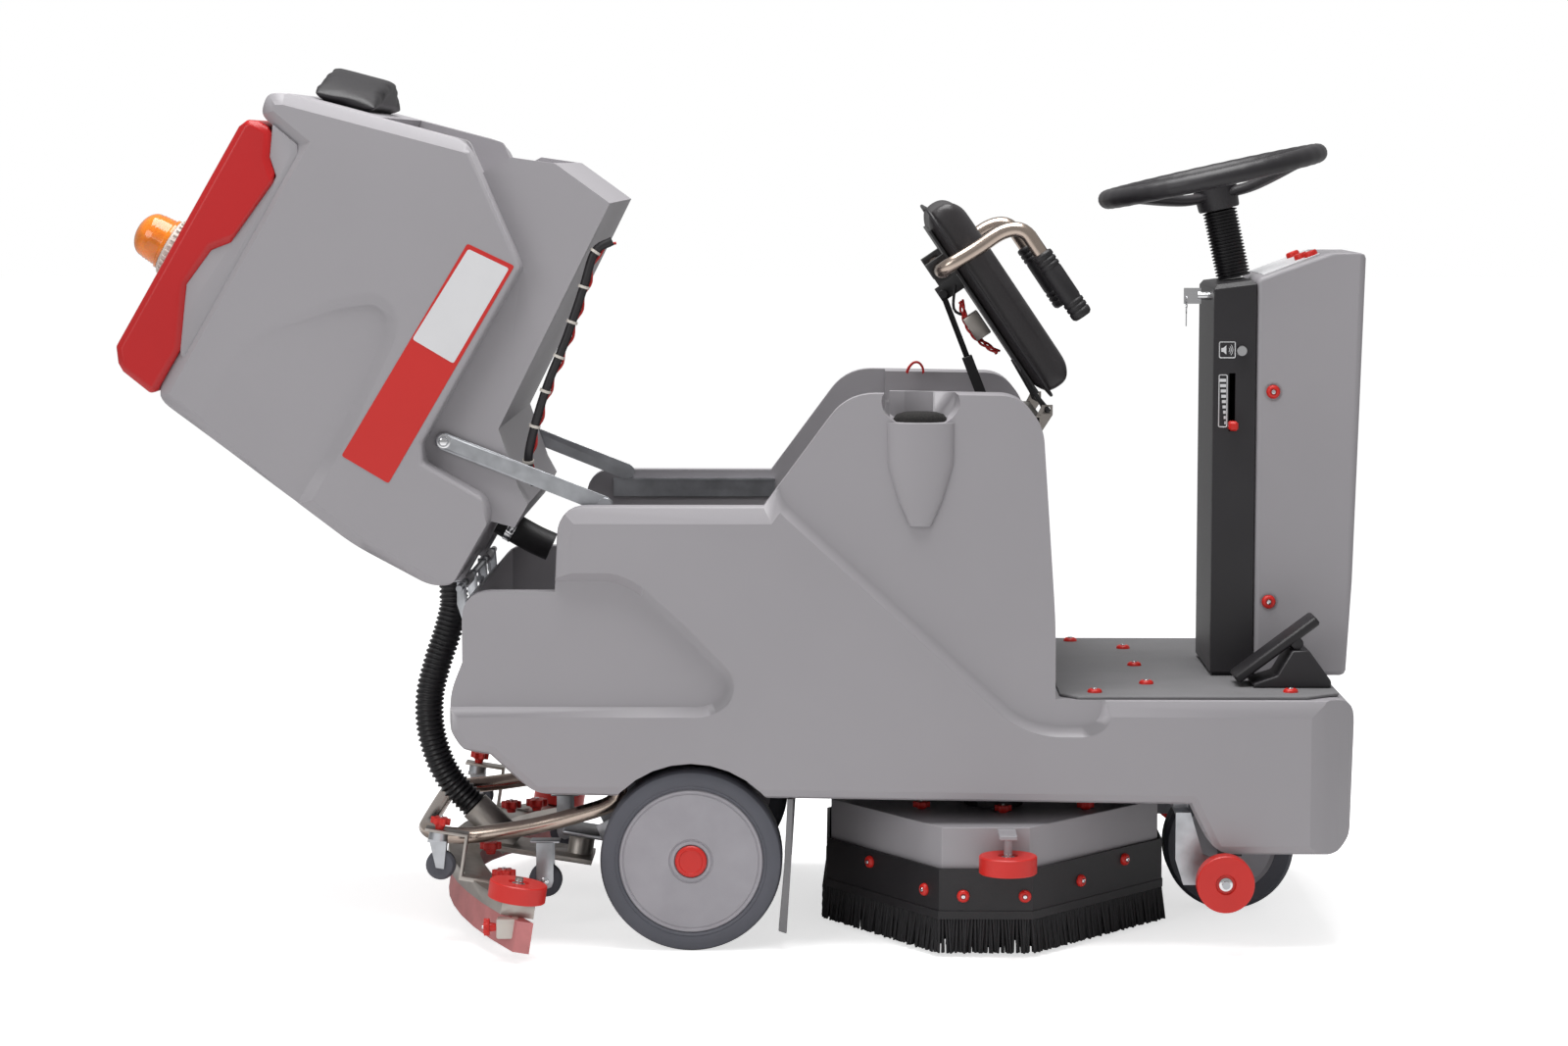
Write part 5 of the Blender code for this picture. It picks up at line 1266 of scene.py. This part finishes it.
def support_wheel(side, word):
    """Small fixed wheel in a folded bracket that carries the squeegee arm."""
    here = MACHINE @ shift(-0.224, side * 0.205, 0.0790)
    leg = [(-0.013, 0.060), (-0.013, 0.0), (-0.010, -0.009), (0.0, -0.013), (0.010, -0.009), (0.013, 0.0),
           (0.013, 0.060)]
    outer = plate(f"support_leg_{word}", leg, -0.0150, -0.0130, edge=0.0005)
    inner = plate(f"support_leg_inner_{word}", leg, 0.0130, 0.0150, edge=0.0005)
    top = box(f"support_top_{word}", (-0.022, -0.015, 0.058), (0.022, 0.015, 0.061), 0.0006)
    settle(place(merge(f"support_bracket_{word}", outer, inner, top), here), "squeegee_arm", "plated_steel")
    tyre = turned(f"support_tyre_{word}", [(0, -0.011), (0.019, -0.011), (0.025, -0.007), (0.025, 0.007),
                                           (0.019, 0.011), (0, 0.011)], 40)
    settle(place(tyre, here, FACE_RIGHT), "squeegee_arm", "black_rubber", look="grey_rubber")
    bolt = bolt_head(f"support_bolt_{word}", 0.0060)
    settle(place(bolt, here, shift(0, side * 0.0148, 0), facing(side)), "squeegee_arm", "plated_steel",
           look="chrome")


# ---------------------------------------------------------------- seat

class SCRUBBER_OT_seat(Operator):
    """Padded seat with its seam, the pan's switch box and wires"""
    bl_idname = "scrubber.seat"
    bl_label = "Seat"

    def execute(self, context):
        cushion = cushion_from("seat_cushion", "seat_cushion_cover", 0.007)
        settle(cushion, "seat", "seat_cover", "seat_cushion")
        plan = rounded([(-0.3490, -0.2042), (-0.0150, -0.2042), (-0.0150, 0.2042), (-0.3490, 0.2042)],
                       0.045, 8)
        seam = tube("seat_seam", [(x, y, 0.0165) for x, y in plan], 0.0026, 4, cyclic=True)
        settle(place(seam, SEAT), "seat", "seat_cover", look="black_rubber")
        recast("seat_pan", "seat_pan_pressing", "seat", "painted_steel", 0.001)
        switch = box("seat_switch", (-0.176, -0.052, -0.030), (-0.136, -0.016, -0.0042), 0.002)
        settle(place(switch, SEAT), "seat", "plated_steel", look="dull_steel")
        lever = tube("switch_lever", route_through([(-0.176, -0.034, -0.022), (-0.196, -0.034, -0.032),
                                                    (-0.226, -0.034, -0.010)], 0.006)[0], 0.0022, 4)
        settle(place(lever, SEAT), "seat", "painted_steel")
        wires = []
        for number in range(3):
            loop = [(-0.200 + 0.012 * i, -0.034 + 0.006 * math.sin(2.1 * i + number),
                     -0.016 - 0.013 * math.sin(0.42 * i) - 0.004 * math.sin(1.7 * i + 2 * number))
                    for i in range(9)]
            wires.append(tube(f"wire_{number}", route_through(loop, 0.004)[0], 0.0019, 3))
        settle(place(merge("seat_wires", *wires), SEAT), "seat", "moulded_red", look="wire_red")
        return {"FINISHED"}


PAD_VOXEL = 0.006
CLOTH_PRESSURE = 4.0
CLOTH_FRAMES = 20


def cushion_from(node, name, inflate):
    """A stuffed cover that starts from the CAD pad: remeshed, blown up as cloth and smoothed."""
    pad = copy_of(node, name)
    pick(pad)
    draw_in = pad.modifiers.new("draw_in", "DISPLACE")
    draw_in.strength = -inflate * 0.6
    draw_in.mid_level = 0.0
    remesh = pad.modifiers.new("remesh", "REMESH")
    remesh.mode = "VOXEL"
    remesh.voxel_size = PAD_VOXEL
    soft = pad.modifiers.new("soften", "SMOOTH")
    soft.factor = 0.6
    soft.iterations = 14
    apply_modifiers(pad)
    before = [v.co.copy() for v in pad.data.vertices]
    pick(pad)
    cloth = pad.modifiers.new("cloth", "CLOTH")
    cloth.settings.use_pressure = True
    cloth.settings.uniform_pressure_force = CLOTH_PRESSURE
    cloth.settings.quality = 5
    cloth.settings.effector_weights.gravity = 0
    scene = bpy.context.scene
    for step in range(1, CLOTH_FRAMES + 1):
        scene.frame_set(step)
    bpy.ops.object.modifier_apply(modifier=cloth.name)
    scene.frame_set(1)
    for vertex, start in zip(pad.data.vertices, before):
        move = vertex.co - start
        if move.length > inflate:
            vertex.co = start + move.normalized() * inflate
    again = pad.modifiers.new("even", "SMOOTH")
    again.factor = 0.5
    again.iterations = 6
    finer = pad.modifiers.new("finer", "SUBSURF")
    finer.levels = finer.render_levels = 1
    apply_modifiers(pad)
    return smooth(pad, 70)


ARMREST_Y = 0.232
ARMREST_TOP = 0.1346
ARMREST_ROUTE = [(0, 0.120, 0), (0, 0.205, 0), (-0.001, 0.225, 0.004), (-0.001, ARMREST_Y, 0.018),
                 (0.001, ARMREST_Y, 0.060), (0.001, ARMREST_Y, 0.100), (0.008, ARMREST_Y, 0.122),
                 (0.022, ARMREST_Y, 0.133), (0.048, ARMREST_Y, ARMREST_TOP),
                 (0.168, ARMREST_Y, ARMREST_TOP)]


class SCRUBBER_OT_armrests(Operator):
    """Steel armrests with ribbed grips"""
    bl_idname = "scrubber.armrests"
    bl_label = "Armrests"

    def execute(self, context):
        for side, word in SIDES:
            here = SEAT @ shift(-0.262, 0, -0.016)
            route = [(x, side * y, z) for x, y, z in ARMREST_ROUTE]
            bar = tube(f"armrest_bar_{word}", route_through(route, 0.006)[0], 0.011, 7)
            settle(place(bar, here), f"armrest_{word}", "polished_steel", f"armrest_{word}")
            profile = [(0.0112, 0.0), (0.0152, 0.0015)]
            for start in (0.004, 0.012, 0.020):
                profile += [(0.0160, start), (0.0160, start + 0.0045), (0.0144, start + 0.0055),
                            (0.0144, start + 0.0070)]
            profile += [(0.0152, 0.030), (0.0154, 0.078)]
            for start in (0.082, 0.090, 0.098):
                profile += [(0.0144, start), (0.0144, start + 0.0015), (0.0160, start + 0.0025),
                            (0.0160, start + 0.0070)]
            profile += [(0.0152, 0.1090), (0.0120, 0.1120), (0, 0.1120), (0, 0.1100), (0.0112, 0.1100)]
            grip = turned(f"armrest_grip_{word}", profile, 40, 60)
            turn = shift(0.059, side * ARMREST_Y, ARMREST_TOP) @ FACE_FRONT
            settle(place(grip, here, turn), f"armrest_{word}", "black_rubber")
        return {"FINISHED"}


class SCRUBBER_OT_seat_metal(Operator):
    """Seat hinge, stay and backrest"""
    bl_idname = "scrubber.seat_metal"
    bl_label = "Seat fittings"

    def execute(self, context):
        for node, name, body, slot, look in (("seat_hinge_bracket", "seat_hinge_plates", "machine",
                                              "plated_steel", "dull_steel"),
                                             ("seat_stay_sleeve", "stay_sleeve_channel", "stay_sleeve",
                                              "painted_steel", "painted_steel"),
                                             ("seat_stay_rod", "stay_rod_bar", "stay_rod", "painted_steel",
                                              "painted_steel"), ("tank_hinge_bracket", "tank_hinge_plates",
                                                                 "machine", "plated_steel",
                                                                 "plated_steel")):
            recast(node, name, body, slot, 0.0008, 1, look=look)
        backrest = cushion_from("backrest_pad", "backrest_cover", 0.005)
        settle(backrest, "tank", "black_rubber", "backrest_pad")
        strap = [(0.322, 0.212, 0.8185), (0.326, 0.212, 0.827), (0.334, 0.212, 0.8345),
                 (0.343, 0.212, 0.8350), (0.350, 0.212, 0.8280), (0.352, 0.212, 0.8185)]
        line, _ = route_through(strap, 0.002)
        loop = plate("lift_strap", [(p.x, p.z) for p in line]
                     + [(0.3375 + (p.x - 0.3375) * 0.78, p.z - 0.0030) for p in reversed(line)], 0.203,
                     0.223)
        settle(place(loop, MACHINE), "machine", "moulded_red", look="wire_red")
        return {"FINISHED"}


# ---------------------------------------------------------------- steering and console

STEERING_RADIUS = 0.163
RIM_THICKNESS = 0.0145
RIM_POINTS = 216
FINGER_GRIPS = 36


class SCRUBBER_OT_steering(Operator):
    """Steering wheel with finger grips, hub and bellows"""
    bl_idname = "scrubber.steering"
    bl_label = "Steering wheel"

    def execute(self, context):
        turns = [2 * math.pi * index / RIM_POINTS for index in range(RIM_POINTS)]
        rim = [(STEERING_RADIUS * math.cos(turn), STEERING_RADIUS * math.sin(turn), 0) for turn in turns]
        radii = [0.985 + 0.015 * math.sin(turn * FINGER_GRIPS) for turn in turns]
        ring = tube("steering_rim", rim, RIM_THICKNESS, 7, radii, cyclic=True)
        hub = turned("steering_hub", [(0, -0.0515), (0.0300, -0.0515), (0.0315, -0.0490), (0.0335, -0.0200),
                                      (0.0345, -0.0130), (0.0310, -0.0105), (0, -0.0105)], 56)
        spoke = tube("spoke", route_through([(0.026, 0, -0.036), (0.060, 0, -0.033), (0.100, 0, -0.022),
                                             (0.157, 0, -0.002)], 0.008)[0], 0.0105, 6)
        place(spoke, Matrix.Diagonal((1, 1.45, 0.80, 1)))
        spokes = scattered("spokes", spoke, [Matrix.Rotation(math.radians(angle), 4, "Z")
                                             for angle in (90, 210, 330)])
        settle(place(merge("steering_wheel_grip", ring, hub, spokes), STEERING), "steering_wheel",
               "black_plastic", "steering_wheel")
        button = turned("steering_cap", [(0, -0.0110), (0.0318, -0.0110), (0.0322, -0.0085),
                                         (0.0290, -0.0050), (0, -0.0035)], 48)
        settle(place(button, STEERING), "steering_wheel", "moulded_red")
        profile = [(0.013, -0.0525), (0.020, -0.0525)]
        height = -0.0545
        while height > -0.152:
            profile += [(0.0262, height), (0.0262, height - 0.0016), (0.0228, height - 0.0026),
                        (0.0228, height - 0.0036)]
            height -= 0.0050
        profile += [(0.0262, -0.1545), (0.0262, -0.1572), (0.013, -0.1572)]
        settle(place(turned("column_bellows", profile, 56, 60), STEERING), "machine", "black_rubber",
               "steering_bellows", look="hose_black")
        return {"FINISHED"}


CONSOLE_CAPS = ((0.869, 0.808), (0.866, 0.490))
SINK_FLOOR = 0.1124
SINK_RADIUS = 0.0128


def sign(name, outline):
    """A thin raised mark on the console's right face."""
    return plate(name, outline, -CONSOLE_FACE - 0.0010, -CONSOLE_FACE + 0.0005)


class SCRUBBER_OT_console(Operator):
    """Console housing, trim, panel, plates with signs, caps and key ring"""
    bl_idname = "scrubber.console"
    bl_label = "Console"

    def execute(self, context):
        shell = copy_of("console_housing", "console_shell")
        for side, word in SIDES:
            for number, (x, z) in enumerate(CONSOLE_CAPS):
                ring = oval_outline(x, z, SINK_RADIUS, SINK_RADIUS)
                combine(shell, "DIFFERENCE",
                        place(dish(f"sink_{word}_{number}", ring, side * 0.1122, side * 0.1162, 0.003),
                              MACHINE))
        settle(even(shell, 34), "machine", "moulded_grey", "console_housing")
        settle(even(copy_of("console_trim", "console_trim_shell")), "machine", "black_plastic",
               "console_trim")
        recast("squeegee_lever", "lever_knob", "squeegee_lever", "moulded_red", 0.0015, 3)
        signs = []
        for low, high in (((0.7865, 0.8585), (0.8115, 0.8835)), ((0.7865, 0.7545), (0.8000, 0.8340))):
            outer = rounded([low, (high[0], low[1]), high, (low[0], high[1])], 0.003)
            border = sign("sign_border", outer)
            hole = plate("sign_hole", spread(outer, -0.0014), -CONSOLE_FACE - 0.003, -CONSOLE_FACE + 0.002)
            signs.append(combine(border, "DIFFERENCE", hole))
        speaker = [(0.7900, 0.8680), (0.7930, 0.8680), (0.7975, 0.8640), (0.7975, 0.8780), (0.7930, 0.8740),
                   (0.7900, 0.8740)]
        signs.append(sign("sign_speaker", speaker))
        for number in range(3):
            reach = 0.0030 + 0.0024 * number
            bow = [(0.7990 + reach * math.cos(math.radians(a)),
                    0.8710 + reach * math.sin(math.radians(a)) * 1.3) for a in range(-50, 51, 20)]
            bow += [(x + 0.0009, z) for x, z in reversed(bow)]
            signs.append(sign(f"sign_wave_{number}", bow))
        for number in range(9):
            z = 0.7590 + number * 0.0080
            half = 0.0010 + 0.0005 * number
            left, right = 0.7978 - 2 * half, 0.7978
            signs.append(sign(f"sign_bar_{number}", [(left, z), (right, z), (right, z + 0.0045),
                                                     (left, z + 0.0045)]))
        settle(place(merge("console_signs", *signs), MACHINE), "machine", "moulded_grey", look="label_pale")
        slope = math.degrees(math.atan2(0.977 - 1.014, 0.947 - 0.850))
        panel = frame_at(0.900, 0, 0.9995, slope)
        sheet = box("console_panel", (-0.048, -0.092, -0.001), (0.042, 0.092, 0.0012), 0.001)
        settle(place(sheet, panel), "machine", "moulded_grey", look="label_pale")
        for number, (x, y) in enumerate(((0.018, -0.050), (0.030, -0.078), (0.018, 0.050))):
            knob = turned(f"panel_button_{number}", [(0, 0.001), (0.0105, 0.001), (0.0105, 0.006),
                                                     (0.0090, 0.0085), (0, 0.0090)], 40)
            settle(place(knob, panel, shift(x, y, 0)), "machine", "moulded_red")
        for side, word in SIDES:
            for number, (x, z) in enumerate(CONSOLE_CAPS):
                cap(f"console_cap_{word}_{number}", MACHINE @ shift(x, side * SINK_FLOOR, z) @ facing(side),
                    "machine", sizes().console_cap)
        low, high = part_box("ignition_key")
        hang = Vector((low.x + 0.004, (low.y + high.y) / 2, (low.z + high.z) / 2))
        ring = [(hang.x, hang.y + 0.010 * math.cos(2 * math.pi * i / 40), hang.z - 0.009
                 + 0.010 * math.sin(2 * math.pi * i / 40)) for i in range(40)]
        settle(tube("key_ring", ring, 0.0009, 3, cyclic=True), "ignition_key", "chrome")
        spare = [(-0.0035, -0.009), (0.0035, -0.009), (0.0040, -0.014), (0.0014, -0.017), (0.0014, -0.036),
                 (-0.0014, -0.036), (-0.0014, -0.017), (-0.0040, -0.014)]
        blade = plate("spare_key", spare, -0.0008, 0.0008)
        settle(place(blade, Matrix.Translation(hang + Vector((0, 0, -0.010))),
                     Matrix.Rotation(QUARTER, 4, "Z")), "ignition_key", "chrome")
        return {"FINISHED"}


MAT_TOP = 0.3765
MAT_CAPS = ((0.592, -0.290), (0.592, 0.290), (0.675, -0.200), (0.673, 0.0), (0.671, 0.200), (0.880, -0.285),
            (0.880, 0.285))


class SCRUBBER_OT_footwell(Operator):
    """Footplate mat with its caps, pedal and mudflaps"""
    bl_idname = "scrubber.footwell"
    bl_label = "Footwell"

    def execute(self, context):
        recast("footplate_mat", "mat_sheet", "machine", "grey_rubber", 0.0016, look="mat_rubber")
        for number, (x, y) in enumerate(MAT_CAPS):
            cap(f"mat_cap_{number}", MACHINE @ shift(x, y, MAT_TOP), "machine", sizes().mat_cap)
        recast("accelerator_pedal", "pedal_pad", "accelerator_pedal", "black_rubber", 0.0012)
        recast("pedal_base", "pedal_housing", "machine", "black_plastic", 0.003)
        for side, word in SIDES:
            recast(f"mudflap_{word}", f"mudflap_sheet_{word}", "machine", "grey_rubber", 0.001, 1,
                   look="mat_rubber")
            recast(f"tank_link_{word}", f"link_bar_{word}", f"tank_link_{word}", "plated_steel", 0.0006, 1)
        return {"FINISHED"}


class SCRUBBER_OT_finish_frame(Operator):
    """Finishes for the CAD nodes that stay as they are"""
    bl_idname = "scrubber.finish_frame"
    bl_label = "Frame finishes"

    def execute(self, context):
        for name, node in NODES.items():
            slots = node.material_slots
            given = slots[0].material.name if slots and slots[0].material else ""
            look = next((SLOT_LOOKS[slot] for slot in SLOT_LOOKS if slot in given), "black_plastic")
            if name.startswith("link_rail"):
                look = "plated_steel"
            node.data.materials.clear()
            node.data.materials.append(finish(look))
        return {"FINISHED"}


CLASSES = (ScrubberColours, ScrubberSizes)
OPERATORS = (SCRUBBER_OT_stage, SCRUBBER_OT_suction_hose, SCRUBBER_OT_drain_hose, SCRUBBER_OT_finish_frame,
             SCRUBBER_OT_body, SCRUBBER_OT_filler, SCRUBBER_OT_tank, SCRUBBER_OT_tank_neck,
             SCRUBBER_OT_tank_band, SCRUBBER_OT_tank_fittings, SCRUBBER_OT_lid, SCRUBBER_OT_beacon,
             SCRUBBER_OT_rear_wheels, SCRUBBER_OT_front_wheel, SCRUBBER_OT_rollers, SCRUBBER_OT_deck,
             SCRUBBER_OT_brushes, SCRUBBER_OT_guard_tube, SCRUBBER_OT_squeegee, SCRUBBER_OT_seat,
             SCRUBBER_OT_armrests, SCRUBBER_OT_seat_metal, SCRUBBER_OT_steering, SCRUBBER_OT_console,
             SCRUBBER_OT_footwell, )


class SCRUBBER_PT_panel(Panel):
    """Lists the machine's pieces"""
    bl_idname = "SCRUBBER_PT_panel"
    bl_label = "Ride-on scrubber-dryer"
    bl_space_type = "VIEW_3D"
    bl_region_type = "UI"
    bl_category = "Scrubber"

    def draw(self, context):
        for group in (context.scene.scrubber_colours, context.scene.scrubber_sizes):
            for name in group.__annotations__:
                self.layout.prop(group, name)
        for operator in OPERATORS:
            self.layout.operator(operator.bl_idname)


def register():
    for cls in (*CLASSES, *OPERATORS, SCRUBBER_PT_panel):
        bpy.utils.register_class(cls)
    bpy.types.Scene.scrubber_colours = PointerProperty(type=ScrubberColours)
    bpy.types.Scene.scrubber_sizes = PointerProperty(type=ScrubberSizes)


def unregister():
    del bpy.types.Scene.scrubber_sizes
    del bpy.types.Scene.scrubber_colours
    for cls in reversed((*CLASSES, *OPERATORS, SCRUBBER_PT_panel)):
        bpy.utils.unregister_class(cls)


def main():
    register()
    for operator in OPERATORS:
        group, name = operator.bl_idname.split(".")
        getattr(getattr(bpy.ops, group), name)()
    rest()


if __name__ == "__main__":
    main()
